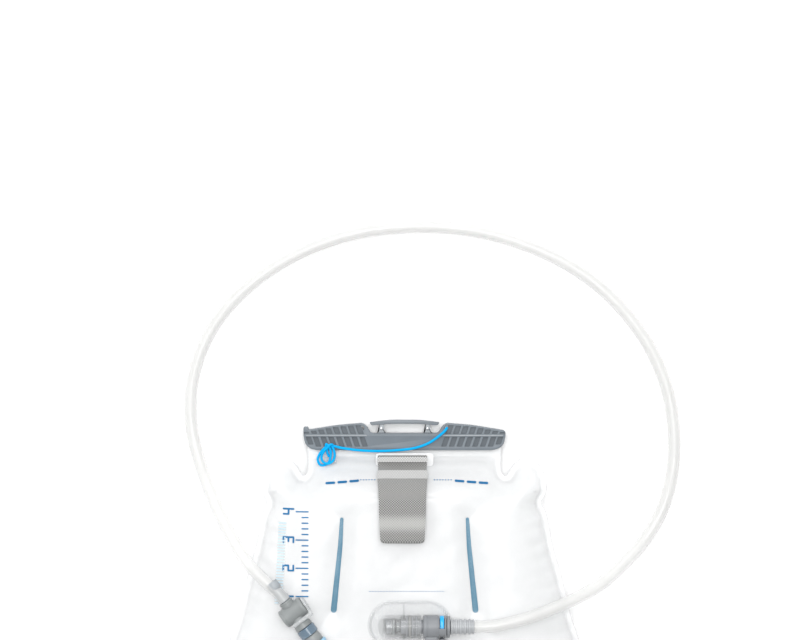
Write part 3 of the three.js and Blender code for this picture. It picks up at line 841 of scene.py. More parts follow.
def front_height(x, y, details=True):
    """Height of the front film, with the creases, folds and gathers left out where details is False."""
    distance, run = edge_distance(x, y)
    filled = 1 - smooth(0.046, 0.074, y)
    neck = 0.0022 * (1 - smooth(0.070, 0.078, y)) * (1 - filled)
    height = seam_height(y) + HALF_WELD + crown(distance, CROWN) * FRONT_RISE * filled
    height = height + neck * crown(distance, NECK_CROWN)
    if not details:
        return height
    away_from_port = smooth(0.026, 0.044, np.hypot(x - PORT_SPOT[0], (y - PORT_SPOT[1]) * 1.4))
    out_of_slide = 1 - smooth(0.072, 0.079, y)
    off_weld = smooth(FLANGE, FLANGE + 0.006, distance)
    relief = dips_at_welds(x, y) + creases(x, y) + 0.0005 * ripple(x, y, 4, 0.060) * filled
    relief = np.minimum(relief + 0.00012 * ripple(x, y, 9, 0.020), HIGHEST_RELIEF)
    neck_folds = -0.0007 * np.exp(-(((y - 0.0605) / 0.0022) ** 2)) + 0.0006 * smooth(0.0692, 0.0702, y)
    relief = relief + neck_folds * (np.abs(x) < NECK_HALF)
    return height + away_from_port * out_of_slide * off_weld * relief + puckers(distance, run, 3) * filled


def back_height(x, y):
    """Height of the back film, which lies flat where it reaches the ground."""
    distance, run = edge_distance(x, y)
    depth = crown(distance, BACK_CROWN) * BACK_DROP * (1 - smooth(0.064, 0.078, y))
    height = seam_height(y) - HALF_WELD - depth + 0.8 * puckers(distance, run, 8) * (y < 0.06)
    return np.maximum(height, 0.0)


def offset_inward(distance):
    """Points a set distance inside the outline, without those that a hollow corner throws too near it."""
    along = np.roll(EDGE, -1, axis=0) - np.roll(EDGE, 1, axis=0)
    along /= np.linalg.norm(along, axis=1)[:, None]
    moved = EDGE + distance * np.column_stack([along[:, 1], -along[:, 0]])
    gap, _ = edge_distance(moved[:, 0], moved[:, 1])
    return moved[gap > distance * 0.97]


# The rows of points beside the outline, and the grid that starts inside them.
ROWS = np.r_[0.0012, 0.0024, 0.0036, np.linspace(0.0046, 0.0120, 9)]
GRID_STARTS = 0.0132
PITCH = 0.0017


def film_points():
    """The outline, rows of points that follow it across the weld, and an even grid over the rest."""
    rows = [offset_inward(d) for d in ROWS]
    xs, ys = np.arange(-0.14, 0.14, PITCH), np.arange(-0.107, 0.089, PITCH)
    grid = np.array([(x + PITCH / 2 * (j % 2), y) for j, y in enumerate(ys) for x in xs])
    gap, _ = edge_distance(grid[:, 0], grid[:, 1])
    right = np.array(OUTLINE)
    polygon = np.vstack([right, (right * (-1, 1))[-2:0:-1]])
    inside = np.zeros(len(grid), bool)
    for a, b in zip(polygon, np.roll(polygon, -1, axis=0)):
        crosses = (a[1] > grid[:, 1]) != (b[1] > grid[:, 1])
        at = (b[0] - a[0]) * (grid[:, 1] - a[1]) / (b[1] - a[1] + 1e-12) + a[0]
        inside ^= crosses & (grid[:, 0] < at)
    return np.vstack([EDGE, *rows, grid[inside & (gap > GRID_STARTS)]])


EDGE_LOOP = [(k, (k + 1) % len(EDGE)) for k in range(len(EDGE))]
FILM_FLAT = delaunay_2d_cdt([Vector(p) for p in film_points()], EDGE_LOOP, [], 1, TOUCHING)


def film_sheet(name, height, faces_up):
    """One film over the whole outline, given its thickness on the inner side."""
    flat = np.array(FILM_FLAT[0])
    vertices = np.column_stack([flat, height(flat[:, 0], flat[:, 1])])
    faces = [f if faces_up else f[::-1] for f in FILM_FLAT[2]]
    mesh = bpy.data.meshes.new(name)
    mesh.from_pydata(vertices.tolist(), [], faces)
    mesh.polygons.foreach_set("use_smooth", [True] * len(mesh.polygons))
    return applied(added(name, mesh), ("SOLIDIFY", {"thickness": FILM_THICKNESS, "offset": -1.0}))


INK_LIFT = 0.00025
INK_THICKNESS = 0.00012
LONGEST_EDGE = 0.0024


def draped(name, outlines):
    """Thin marks that lie on the front film, from outlines in x and y that are filled and cut fine."""
    bm = bmesh.new()
    for outline in outlines:
        bm.faces.new([bm.verts.new((x, y, 0)) for x, y in outline])
    bmesh.ops.triangulate(bm, faces=bm.faces)
    for _ in range(5):
        long = [e for e in bm.edges if e.calc_length() > LONGEST_EDGE]
        if not long:
            break
        bmesh.ops.subdivide_edges(bm, edges=long, cuts=1)
        bmesh.ops.triangulate(bm, faces=bm.faces)
    flat = np.array([v.co for v in bm.verts])
    heights = front_height(flat[:, 0], flat[:, 1]) + INK_LIFT
    for vertex, z in zip(bm.verts, heights):
        vertex.co.z = z
    mesh = bpy.data.meshes.new(name)
    bmesh.ops.recalc_face_normals(bm, faces=bm.faces)
    bm.to_mesh(mesh)
    bm.free()
    obj = added(name, mesh)
    if sum(p.normal.z for p in mesh.polygons) < 0:
        mesh.flip_normals()
    return applied(obj, ("SOLIDIFY", {"thickness": INK_THICKNESS, "offset": -1.0}))


def bar_outline(start, end, width, width_end=None, steps=7):
    """A stroke with round ends from start to end."""
    a, b = Vector(start), Vector(end)
    along = (b - a).normalized()
    side = Vector((-along.y, along.x))
    first, last = width / 2, (width_end or width) / 2
    points = []
    for centre, r, base in ((b, last, 0.0), (a, first, math.pi)):
        for k in range(steps + 1):
            t = base + math.pi / 2 - math.pi * k / steps
            points.append(centre + r * (along * math.cos(t) + side * math.sin(t)))
    return [tuple(p) for p in points]


def weld_lines():
    """The two coloured lines along the baffles, wider at the foot, each with a slight bend."""
    for side, name in ((-1, "weld_line_left"), (1, "weld_line_right")):
        top, foot = [(side * p[0], p[1]) for p in (WELD_TOP, WELD_FOOT)]
        bulge = (side * (top[0] * side + 0.0012), mix(top[1], foot[1], 0.3))
        parts = [bar_outline(foot, bulge, 0.0044, 0.0034), bar_outline(bulge, top, 0.0034, 0.0026)]
        place(draped(name, parts), "weld_line", "bladder")


# Strokes of the numerals on a 2 by 4 grid, for a generic volume scale.
NUMERALS = {
    "1": (((0.4, 3.2), (1, 4)), ((1, 4), (1, 0))),
    "2": (((0, 4), (2, 4)), ((2, 4), (2, 2)), ((2, 2), (0, 2)), ((0, 2), (0, 0)), ((0, 0), (2, 0))),
    "3": (((0, 4), (2, 4)), ((2, 4), (2, 0)), ((0.4, 2), (2, 2)), ((0, 0), (2, 0))),
    "4": (((0, 4), (0, 2)), ((0, 2), (2, 2)), ((2, 4), (2, 0))),
}


def numeral(sign, corner, size):
    """A numeral that reads from the bag's left side, so its top points towards -X."""

    def on_bag(point):
        return corner[0] - point[1] * size, corner[1] + point[0] * size

    return [bar_outline(on_bag(a), on_bag(b), size * 0.72, steps=4) for a, b in NUMERALS[sign]]


def stroke(x0, x1, y, width):
    """A short mark along X."""
    return bar_outline((x0, y), (x1, y), width, steps=3)


# The scale: where its ticks start, their spacing, and the size of its numbers.
TICK_X = -0.0722
TICK_Y = -0.025
TICK_PITCH = 0.0042
NUMERAL_PITCH = 0.021
NUMERAL_SIZE = 0.0019


def volume_scale():
    """A ladder of ticks up the bag's left side, with a number at each long one."""
    ticks, signs, band = [], [], []
    for i in range(16):
        reach = 0.009 if i % 5 == 0 else 0.0045
        ticks.append(stroke(TICK_X, TICK_X - reach, TICK_Y + i * TICK_PITCH, 0.0010))
    for i, sign in enumerate("1234"):
        signs += numeral(sign, (-0.0832, -0.0268 + i * NUMERAL_PITCH), NUMERAL_SIZE)
    for k, y in enumerate(np.arange(-0.030, 0.031, 0.0022)):
        slant = 0.0001 * k
        band.append(stroke(-0.0968 + slant, -0.0918 + slant, y, 0.0011))
    place(draped("volume_ticks", ticks), "print", "bladder")
    place(draped("volume_numbers", signs), "print", "bladder")
    place(draped("volume_band", band), "pale_print", "bladder")


FILL_Y = 0.0612
CARE_Y = -0.0212
DOT_PITCH = 0.0021


def fill_line():
    """Dots across the neck that mark how far to fill, with three dashes at each end."""
    marks = []
    for side in (-1, 1):
        for k in range(7):
            x = side * (0.0225 + k * DOT_PITCH)
            marks.append(stroke(x - 0.0003, x + 0.0003, FILL_Y, 0.0006))
        for k in range(3):
            x = side * (0.0385 + 0.0090 * k) + 0.0035 * (side < 0)
            fall = 0.0007 * k
            marks.append(bar_outline((x, 0.0606 - fall), (x + side * 0.0058, 0.0602 - fall), 0.0016, steps=4))
    place(draped("fill_line", marks), "print", "bladder")


def care_line():
    """A fine row of dots above the port."""
    dots = [stroke(x, x + 0.0006, CARE_Y, 0.0005) for x in np.arange(-0.0262, 0.0290, DOT_PITCH)]
    place(draped("care_line", dots), "print", "bladder")


def bag():
    place(film_sheet("front_film", front_height, True), "film", "bladder", "front_panel")
    place(film_sheet("back_film", back_height, False), "film", "bladder", "back_panel")
    weld_lines()
    volume_scale()
    fill_line()
    care_line()


bag()


# ---------- slide seal and handle ----------
def mm(points):
    """The same points, given in millimetres, in metres."""
    return [tuple(v * MM for v in p) for p in points]


def joined(name, parts):
    """Several closed bodies as one piece."""
    bm = bmesh.new()
    for part in parts:
        bm.from_mesh(part.data)
        bpy.data.objects.remove(part)
    mesh = bpy.data.meshes.new(name)
    bm.to_mesh(mesh)
    bm.free()
    return shade(added(name, mesh))


# The slide from above, with the radius at each corner, in millimetres.
SLIDE_OUTLINE = (
    (-76.8, 100.2, 0.8),
    (-73.6, 100.2, 0.8),
    (-72.9, 98.0, 1.0),
    (-52.0, 101.5, 8.0),
    (-32.0, 103.1, 1.6),
    (-28.6, 100.6, 2.4),
    (-25.6, 95.4, 2.0),
    (25.6, 95.4, 2.0),
    (28.6, 100.6, 2.4),
    (32.0, 103.1, 1.6),
    (52.0, 101.5, 8.0),
    (76.6, 97.4, 1.6),
    (76.8, 93.4, 2.5),
    (75.4, 87.4, 4.0),
    (72.0, 84.0, 4.0),
    (66.5, 82.6, 3.0),
    (-66.5, 82.6, 3.0),
    (-72.0, 84.0, 4.0),
    (-75.4, 87.4, 4.0),
    (-76.8, 93.4, 2.5),
)
# The pockets of each wing: how many, their spacing, and how far their tops lean outwards.
POCKETS = 8
POCKET_PITCH = 0.0059
LEAN = 0.34
HALF_POCKET = 0.0021
TETHER_HOLE = (0.0322, 0.0996)


def top_of_wing(x):
    """The wing's upper edge: highest beside the handle and lower towards the end."""
    return float(np.interp(abs(x), [0.0320, 0.0520, 0.0768], [0.1031, 0.1015, 0.0975]))


def slanted(x, y0, y1, side, half, low, high, edge=0.0):
    """A parallelogram in plan whose top leans away from the middle of the slide."""
    shift = side * LEAN * (y1 - y0)
    outline = [(x - half, y0), (x + half, y0), (x + half + shift, y1), (x - half + shift, y1)]
    return plate("pocket", filleted(outline, 0.0005, 2), low, high, edge, 2)


def wing_rows(lower_z, upper_z, top, shrink=0.0):
    """The two rows of slanted shapes on each wing, between the given heights."""
    shapes = []
    half = HALF_POCKET - shrink
    for side in (-1, 1):
        for k in range(POCKETS):
            x = side * (0.0298 + k * POCKET_PITCH)
            low = 0.0852 + max(0, k - 6) * 0.0016 + shrink
            shapes.append(slanted(x, low, 0.0928 - shrink, side, half, lower_z, top))
            start = 0.0949 + shrink
            end = top_of_wing(x + side * 0.0045) - 0.0014 - shrink
            if end - start > 0.0012:
                shapes.append(slanted(x + side * 0.0032, start, end, side, half, upper_z, top))
    return shapes


def slide_seal():
    """The slide, with the channel that grips the folded mouth, dark plates on the pockets' floors as painted
    shade, and pale ridges on the spine as painted highlight.
    """
    outline = filleted(mm(SLIDE_OUTLINE), 0.001, 6)
    core = plate("slide_body", outline, 0.0006, 0.0133, 0.0006)
    cuts = [
        block("over", (-0.09, 0.0946, 0.0122), (0.09, 0.12, 0.02)),
        block("under", (-0.09, 0.0958, -0.001), (0.09, 0.12, 0.0026)),
        block("slot", (-0.0746, 0.080, 0.0052), (0.079, 0.0924, 0.0092)),
        block("channel", (-0.0746, 0.0872, 0.0036), (0.079, 0.0924, 0.0103)),
        joined("pocket_cutter", wing_rows(0.0113, 0.0102, 0.02)),
    ]
    for side in (-1, 1):
        hole = [(-0.01, 0), (-0.01, 0.0017), (0.02, 0.0017), (0.02, 0)]
        cuts.append(turned("hole", hole, (side * TETHER_HOLE[0], TETHER_HOLE[1], 0), (0, 0, 1), 32))
    core = softened(combined(core, cuts, "DIFFERENCE"), 0.00025, 2, 50)
    core.name = "slide_seal_moulding"
    place(core, "slide", "slide", "slide_seal")
    # Thin dark plates just above the pockets' floors: painted shade in the recesses.
    floors = joined("pocket_floors_painted_shade", wing_rows(0.0112, 0.0101, 0.01135, 0.00015))
    place(floors, "slide_painted_shade", "slide")
    # Thin pale strips along the spine: painted highlight where the sloped top meets the front.
    spine = [slanted(side * 0.0515, 0.0933, 0.0943, side, 0.0232, 0.0131, 0.0137, 0.0002) for side in (-1, 1)]
    place(joined("spine_ridges_painted_highlight", spine), "slide_painted_highlight", "slide")


# The handle, its feet and its rivets, in millimetres: outlines from above with the radius at each corner, and
# the rivet's section.
HANDLE_OUTLINE = (
    (-26.6, 103.6, 0.6), (-25.2, 101.4, 1.2), (-21.0, 101.6, 3.0), (-12.0, 102.5, 6.0), (12.0, 102.5, 6.0),
    (21.0, 101.6, 3.0), (25.2, 101.4, 1.2), (26.6, 103.6, 0.6), (12.0, 105.5, 9.0), (-12.0, 105.5, 9.0),
)
FOOT_OUTLINE = (
    (-3.3, 95.5, 0.2), (3.3, 95.5, 0.2), (2.0, 97.6, 1.5), (1.9, 102.8, 0.2), (-1.9, 102.8, 0.2),
    (-2.0, 97.6, 1.5),
)
RIVET_SECTION = (
    (-3.3, 0), (-3.3, 0.7), (-2.9, 1.3), (-2.7, 1.3), (-2.7, 0.7), (2.7, 0.7), (2.7, 1.3), (3.0, 1.2),
    (3.3, 0.7),
    (3.4, 0),
)
RIVET_X = 17.6


def handle():
    """The arched grip on its two feet, with a rivet through each foot."""
    arch = filleted(mm(HANDLE_OUTLINE), 0.001)
    place(plate("handle_grip", arch[::-1], 0.0036, 0.0104, 0.0004), "handle", "slide", "handle_bar")
    for side, name in ((-1, "left"), (1, "right")):
        outline = filleted(mm([(side * RIVET_X + x, y, r) for x, y, r in FOOT_OUTLINE]), 0.0002)
        place(plate("handle_post_" + name, outline, 0.0044, 0.0098, 0.0005), "post", "slide")
        spot = (side * RIVET_X * MM, 0.0989, 0.0071)
        rivet = turned("handle_rivet_" + name, mm(RIVET_SECTION), spot, (0, 0, 1), 32)
        place(rivet, "steel", "slide", "rivet_" + name)


slide_seal()
handle()


# ---------- tether hitch ----------
def hitch():
    """Where the tether is girth-hitched: two loops that hang to the clear ferrule on the neck."""
    loops = (
        mm([(-57.4, 86.6, 15.2), (-60.6, 84.4, 15.6), (-64.4, 79.8, 15.4), (-65.8, 75.4, 14.6),
            (-63.9, 71.6, 14.0), (-60.4, 71.5, 14.1),
            (-57.5, 73.6, 14.8), (-56.2, 77.4, 15.6), (-56.0, 82.0, 16.0), (-57.6, 85.8, 16.4),
            (-59.4, 87.4, 16.2), (-59.6, 85.2, 15.4)]),
        mm([(-55.6, 86.4, 15.4), (-53.7, 83.0, 15.8), (-53.0, 78.6, 15.2), (-54.4, 74.6, 15.3),
            (-58.0, 72.6, 15.9), (-61.6, 73.8, 15.6),
            (-63.0, 77.4, 15.8), (-61.2, 81.8, 16.8), (-58.2, 85.0, 17.4), (-56.0, 87.0, 16.8),
            (-54.6, 87.0, 15.6)]),
    )
    strands = [tube("strand", rounded_route(loop, 130), 0.00095, 14) for loop in loops]
    place(joined("tether_hitch", strands), "cord", "bladder")
    ferrule = [(-0.0042, 0.0010), (-0.0043, 0.0014), (-0.0040, 0.0017), (0.0040, 0.0017), (0.0043, 0.0014),
               (0.0042, 0.0010)]
    ring = turned("tether_ferrule", ferrule, centre_of("tether_eyelet"), (1, 0, 0), 32)
    place(ring, "clear", "bladder", "tether_eyelet")


hitch()


# ---------- strap ----------
STRAP_MIDDLE = -0.0016
LAY_LOW = 0.0138
STRAP_HALF = (STRAP_HIGH[0] - STRAP_LOW[0]) / 2
STRAP_HALF_AT_FOOT = 0.0164
WEBBING = 0.0013
TAPE = 0.0008
# How far the middle of each layer stands above the bag.
BACK_LAYER = 0.00285
LOOP_TAPE = 0.0043
HOOK_TAPE = 0.0055
FRONT_LAYER = 0.00695
HEM = 0.0079
STITCHES = 0.00825


def lay(y):
    """Height of the bag along its middle, where the strap lies, never below the tab on the neck."""
    y = np.atleast_1d(np.asarray(y, float))
    return np.maximum(front_height(np.zeros_like(y), y, details=False), LAY_LOW)


def webbing_band(name, line, half_at, thickness, across=26):
    """A band of webbing along a line of (y, z) points, with thick, rounded selvedges."""
    line = np.array(line)
    run = np.r_[0, np.cumsum(np.linalg.norm(np.diff(line, axis=0), axis=1))]
    tangent = np.gradient(line, axis=0)
    tangent /= np.linalg.norm(tangent, axis=1)[:, None]
    normal = np.column_stack([-tangent[:, 1], tangent[:, 0]])
    section = []
    for k in range(across + 1):
        u = -1 + 2 * k / across
        section.append((u, 0.5 * (1 - abs(u) ** 10)))
    section += [(u, -t) for u, t in section[::-1][1:-1]]
    vertices = []
    for i, (point, n) in enumerate(zip(line, normal)):
        half = half_at(run[i] / run[-1])
        wave = 0.00012 * math.sin(run[i] / 0.006)
        for u, t in section:
            y, z = point + n * t * thickness
            vertices.append((STRAP_MIDDLE + u * (half + wave), y, z))
    count = len(section)
    faces = [
        (i * count + k, i * count + (k + 1) % count, (i + 1) * count + (k + 1) % count, (i + 1) * count + k)
        for i in range(len(line) - 1)
        for k in range(count)
    ]
    faces.append(list(range(count))[::-1])
    faces.append([(len(line) - 1) * count + k for k in range(count)])
    return shade(mesh_object(name, vertices, faces), 60)


def laid(start, end, count, lift):
    """A line of (y, z) points along the strap, this far above the bag."""
    ys = np.linspace(start, end, count)
    return np.column_stack([ys, lay(ys) + lift])


def strap_half(t):
    """Half of the strap's width, a share t of the way from the neck to its folded foot."""
    return mix(STRAP_HALF, STRAP_HALF_AT_FOOT, t)


def strap():
    """Two layers of webbing with hook and loop tape between them, a stitched hem and a fold at the tab."""
    back = laid(0.0790, 0.0175, 90, BACK_LAYER)
    place(webbing_band("strap_back_layer", back, lambda t: strap_half(t) - 0.0004, WEBBING), "web", "strap",
          "strap_back")
    for name, lift, body, node_name in (
        ("strap_loop_tape", LOOP_TAPE, "strap", "loop_tape"),
        ("strap_hook_tape", HOOK_TAPE, "flap", "hook_tape"),
    ):
        line = laid(0.0600, 0.0232, 50, lift)
        place(webbing_band(name, line, lambda t: strap_half(t) - 0.003, TAPE), "tape", body, node_name)

    front = laid(0.0676, 0.0196, 90, FRONT_LAYER)
    foot_y, foot_z = front[-1]
    turns = np.linspace(0.1, math.pi * 0.5, 12)
    bend = [(foot_y - 0.0040 * math.sin(a), foot_z - 0.0022 + 0.0022 * math.cos(a)) for a in turns]
    flap = webbing_band(
        "strap_front_flap",
        np.vstack([front, bend]),
        lambda t: strap_half(t) - 0.0012 * smooth(0.96, 1.0, t),
        WEBBING,
    )
    place(flap, "web", "flap", "strap_front")

    # The hem takes the paler hem finish, a painted highlight where the webbing curls; the stitches share it.
    hem = laid(0.0680, 0.0624, 16, HEM)
    place(webbing_band("flap_hem", hem, lambda t: STRAP_HALF - 0.0001, 0.0007), "hem", "flap")
    stitches = []
    for row_y in (0.0630, 0.0655):
        z = lay(row_y)[0] + STITCHES
        for k in range(17):
            x = -STRAP_HALF + 0.0022 + k * 0.0021
            thread = [(x, row_y, z), (x + 0.0007, row_y, z + 0.00018), (x + 0.0015, row_y, z)]
            stitches.append(tube("stitch", thread, 0.00018, 6))
    place(joined("flap_stitches", stitches), "hem", "flap")

    radius = 0.0007
    fold_y, fold_z = 0.0768, lay(0.0768)[0] + 0.0047
    fold = [(fold_y + radius * math.sin(a), fold_z - radius * math.cos(a)) for a in np.linspace(0, math.pi,
                                                                                                12)]
    line = np.vstack([fold, laid(0.0765, 0.0740, 8, 0.0054)])
    # The fold takes the paler hem finish: a painted highlight along its curl.
    place(webbing_band("strap_top_fold", line, lambda t: STRAP_HALF - 0.0002, 0.0008), "hem", "strap")


def strap_tab():
    """The clear tab welded to the neck, wider than the strap, with a pressed rim."""
    low, high = corners("strap_tab")
    tab = plate("strap_tab_film", filleted(oblong(low, high), 0.003, 5), low[2], high[2], 0.0003)
    place(tab, "film", "bladder", "strap_tab")


strap()
strap_tab()


# ---------- outlet port ----------
PORT_ORIGIN = (0.0, BORE_Y, BORE_Z)


def on_port(name, profile, sides=72):
    """A piece turned about the port's axis, from a closed (along, radius) profile in millimetres."""
    return turned(name, mm(profile), PORT_ORIGIN, (1, 0, 0), sides)


def crosswise(name, outline, x0, x1, edge=0.0):
    """A (y, z) outline, in metres, made solid between two planes square to X."""
    made = plate(name, outline, x0, x1, edge, 2)
    made.data.transform(Matrix(((0, 0, 1, 0), (1, 0, 0, 0), (0, 1, 0, 0), (0, 0, 0, 1))))
    return made


def ring_profile(along, radius, wire):
    """The round section of an O-ring, in millimetres, closed on its first point."""
    turns = [math.tau * k / 12 for k in range(12)]
    section = [(along + wire * math.cos(a), radius + wire * math.sin(a)) for a in turns]
    return [*section, section[0]]


def stadium(x0, x1, radius):
    """A round-ended outline about the port, in metres."""
    outline = []
    for middle, first in ((x1 - radius, -math.pi / 2), (x0 + radius, math.pi / 2)):
        for a in np.linspace(first, first + math.pi, 26):
            outline.append((middle + radius * math.cos(a), BORE_Y + radius * math.sin(a)))
    return outline


FLANGE_Z = FILM_TOP + 0.0003
FLANGE_END = 0.0357
FLANGE_RADIUS = 0.0187


def inset_flange(name, inset, low, high, edge=0.0):
    """The flange's own outline, drawn in by the inset, between two heights above the flange's foot."""
    outline = stadium(PORT_END + inset, FLANGE_END - inset, FLANGE_RADIUS - inset)
    return plate(name, outline, FLANGE_Z + low, FLANGE_Z + high, edge)


def port_flange():
    """The weld flange, with a raised rim, a fin on each side and the saddle that carries the shell."""
    parts = [inset_flange("flange", 0.0, 0.0, 0.0013, 0.0004)]
    rim = inset_flange("rim", 0.0012, 0.0006, 0.0015, 0.0002)
    parts.append(combined(rim, [inset_flange("rim_inside", 0.0030, -0.001, 0.004)], "DIFFERENCE"))
    for side in (-1, 1):
        outline = [
            (BORE_Y + side * 0.0044, FLANGE_Z + 0.0008),
            (BORE_Y + side * 0.0150, FLANGE_Z + 0.0008),
            (BORE_Y + side * 0.0146, FLANGE_Z + 0.0016),
            (BORE_Y + side * 0.0078, BORE_Z - 0.0042),
            (BORE_Y + side * 0.0060, BORE_Z - 0.0062),
        ]
        parts.append(crosswise("fin", outline, -0.0011, -0.0001, 0.0001))
    low, high = (-0.0158, BORE_Y - 0.0048, FLANGE_Z + 0.0008), (0.0108, BORE_Y + 0.0048, BORE_Z - 0.0070)
    bore = on_port("saddle_bore", [(-30, 0), (-30, 8.4), (30, 8.4), (30, 0)])
    parts.append(combined(block("saddle", low, high, 0.0004), [bore], "DIFFERENCE"))
    return parts


def port():
    shell = on_port(
        "shell",
        [(-19.9, 0), (-19.7, 2.4), (-18.9, 4.6), (-17.3, 6.8), (-15.2, 8.1), (-12.8, 8.8), (-9.0, 8.9),
         (-8.8, 8.7), (8.6, 8.7), (9.0, 9.2),
         (11.8, 9.2), (12.2, 8.9), (12.2, 8.5), (11.7, 8.1), (-2.7, 8.1), (-3.1, 7.7), (-3.2, 4.4),
         (-4.6, 4.4), (-4.6, 6.2), (-13.6, 6.2),
         (-14.0, 5.8), (-14.0, 0)],
    )
    place(joined("port_moulding", [shell, *port_flange()]), "clear", "bladder", "port_housing")
    turns = np.linspace(0, 3.4 * math.tau, 130)
    radius = 0.0046
    coil = [
        (-0.0132 + 0.0037 * a / turns[-1], BORE_Y + radius * math.cos(a), BORE_Z + radius * math.sin(a))
        for a in turns
    ]
    place(tube("port_spring", coil, 0.0004, 12), "steel", "bladder", "poppet_spring")
    poppet = on_port("poppet_head", [(-9, 0), (-9, 5.3), (-8.7, 5.6), (-7.8, 5.6), (-7.5, 5.2), (-7.5, 3.7),
                                     (-3.7, 3.2), (-3.4, 2.8), (-3.4, 0)], 48)
    place(poppet, "valve", "poppet", "port_poppet")
    ring = on_port("poppet_o_ring", ring_profile(-6.65, 4.65, 0.62), 64)
    place(ring, "seal", "poppet", "poppet_seal")


def plug():
    body = on_port(
        "plug_shaft",
        [(-2.9, 2.4), (-2.9, 4.7), (-2.5, 5.15), (1.1, 5.15), (1.2, 7.5), (1.5, 7.8), (2.2, 7.8), (2.4, 7.5),
         (2.5, 5.4), (5.3, 5.4),
         (5.4, 7.5), (5.7, 7.8), (6.4, 7.8), (6.6, 7.5), (6.7, 5.15), (8.1, 5.15), (8.2, 7.5), (8.5, 7.8),
         (9.2, 7.8), (9.4, 7.5), (9.6, 5.15),
         (33.6, 5.15), (33.8, 3.4), (38.0, 4.0), (38.1, 3.3), (42.0, 4.0), (42.1, 3.3), (49.0, 3.2),
         (49.0, 2.4)],
        64,
    )
    place(body, "connector", "plug", "plug_body")
    ring = on_port("plug_o_ring", ring_profile(3.9, 6.75, 1.1), 64)
    place(ring, "grey_seal", "plug", "plug_oring")


def connector():
    shell = on_port(
        "connector_barrel",
        [(13.7, 5.45), (13.7, 7.9), (14.1, 8.4), (14.7, 8.6), (16.4, 8.6), (16.6, 8.35), (17.2, 8.35),
         (17.4, 8.6), (24.6, 8.6), (24.8, 8.4),
         (25.2, 8.4), (25.4, 8.6), (30.3, 8.6), (30.8, 8.3), (31.0, 7.9), (31.0, 5.45)],
    )
    cuts = [
        block("latch_slot", (0.0257, BORE_Y - 0.013, BORE_Z - 0.007),
              (0.0297, BORE_Y + 0.013, BORE_Z + 0.007)),
        block("window", (0.0257, BORE_Y - 0.0004, BORE_Z), (0.0297, BORE_Y + 0.013, BORE_Z + 0.012)),
    ]
    shell = softened(combined(shell, cuts, "DIFFERENCE"), 0.00022)
    outline = filleted(oblong((0.0150, BORE_Y - 0.0105), (0.0245, BORE_Y - 0.0068)), 0.0012)
    grip = plate("grip", outline, BORE_Z - 0.005, BORE_Z + 0.005, 0.0009)
    ridges = []
    for x in np.arange(0.0164, 0.0240, 0.0014):
        low, high = (x - 0.0004, BORE_Y - 0.0109, BORE_Z - 0.0040), (x + 0.0004, BORE_Y - 0.0100,
                                                                     BORE_Z + 0.0040)
        ridges.append(block("ridge", low, high, 0.0002))
    place(joined("connector_body", [shell, grip, *ridges]), "connector", "plug", "connector_shell")
    collar = [(31.3, 5.45), (31.3, 7.6), (31.6, 8.0), (33.2, 8.0), (33.6, 7.6), (33.6, 5.45)]
    place(on_port("connector_end_ring", collar), "connector", "plug", "connector_collar")
    boot = [(33.9, 4.4)]
    for k in range(5):
        x = 34.1 + k * 3.3
        boot += [(x, 5.45), (x + 0.25, 5.75), (x + 1.5, 5.75), (x + 1.75, 5.45), (x + 1.9, 4.95),
                 (x + 3.1, 4.95)]
    boot += [(50.7, 5.5), (51.3, 5.6), (51.6, 5.3), (51.6, 4.85), (51.3, 4.4)]
    place(on_port("boot_sleeve", boot), "boot", "plug", "hose_boot")


LATCH_TRAVEL = 0.0022
YOKE_RADIUS = 0.0082
YOKE_HALF = 0.0067
YOKE_OPENING = 5.35


def latch():
    """The cyan arm of the clip that holds the plug, the grey half that carries it, and its thumb button."""
    angle = math.asin(YOKE_HALF / YOKE_RADIUS)
    turns = np.linspace(-angle, angle, 22)
    right = [(YOKE_RADIUS * math.cos(a), YOKE_RADIUS * math.sin(a)) for a in turns]
    left = [(-y, -z) for y, z in right]
    yoke = crosswise("yoke", [(BORE_Y + y, BORE_Z + z) for y, z in right + left], 0.0262, 0.0292, 0.00035)
    bore = [(20, 0), (20, YOKE_OPENING), (35, YOKE_OPENING), (35, 0)]
    reach = YOKE_OPENING * MM
    opening = on_port("opening", bore, 48)
    pressed = turned("opening_pressed", mm(bore), (0, BORE_Y - LATCH_TRAVEL, BORE_Z), (1, 0, 0), 48)
    between = block("opening_between", (0.020, BORE_Y - LATCH_TRAVEL, BORE_Z - reach),
                    (0.035, BORE_Y, BORE_Z + reach))
    yoke = combined(yoke, [opening, pressed, between], "DIFFERENCE")
    carrier = added("latch_carrier", yoke.data.copy())
    below = block("below", (0.02, BORE_Y - 0.02, BORE_Z - 0.02), (0.04, BORE_Y - 0.0006, BORE_Z + 0.02))
    above = block("above", (0.02, BORE_Y - 0.0006, BORE_Z - 0.02), (0.04, BORE_Y + 0.02, BORE_Z + 0.02))
    place(shade(combined(yoke, [below], "DIFFERENCE")), "cyan", "latch", "latch_clip")
    place(shade(combined(carrier, [above], "DIFFERENCE")), "connector", "latch")
    low, high = corners("latch_button")
    button = plate("button", filleted(oblong(low, high), 0.0009), low[2], high[2], 0.0008)
    ridges = []
    for z in np.arange(low[2] + 0.0018, high[2] - 0.0012, 0.0013):
        foot, top = (low[0] + 0.0006, low[1] - 0.0002, z - 0.0003), (high[0] - 0.0006, low[1] + 0.0006,
                                                                     z + 0.0003)
        ridges.append(block("button_ridge", foot, top, 0.00015))
    place(joined("button_cap", [button, *ridges]), "connector", "latch", "latch_button")


port()
plug()
connector()
latch()


# ---------- shut-off valve and bite valve ----------
ACROSS = np.array((-VALVE_AXIS[1], VALVE_AXIS[0], 0.0))
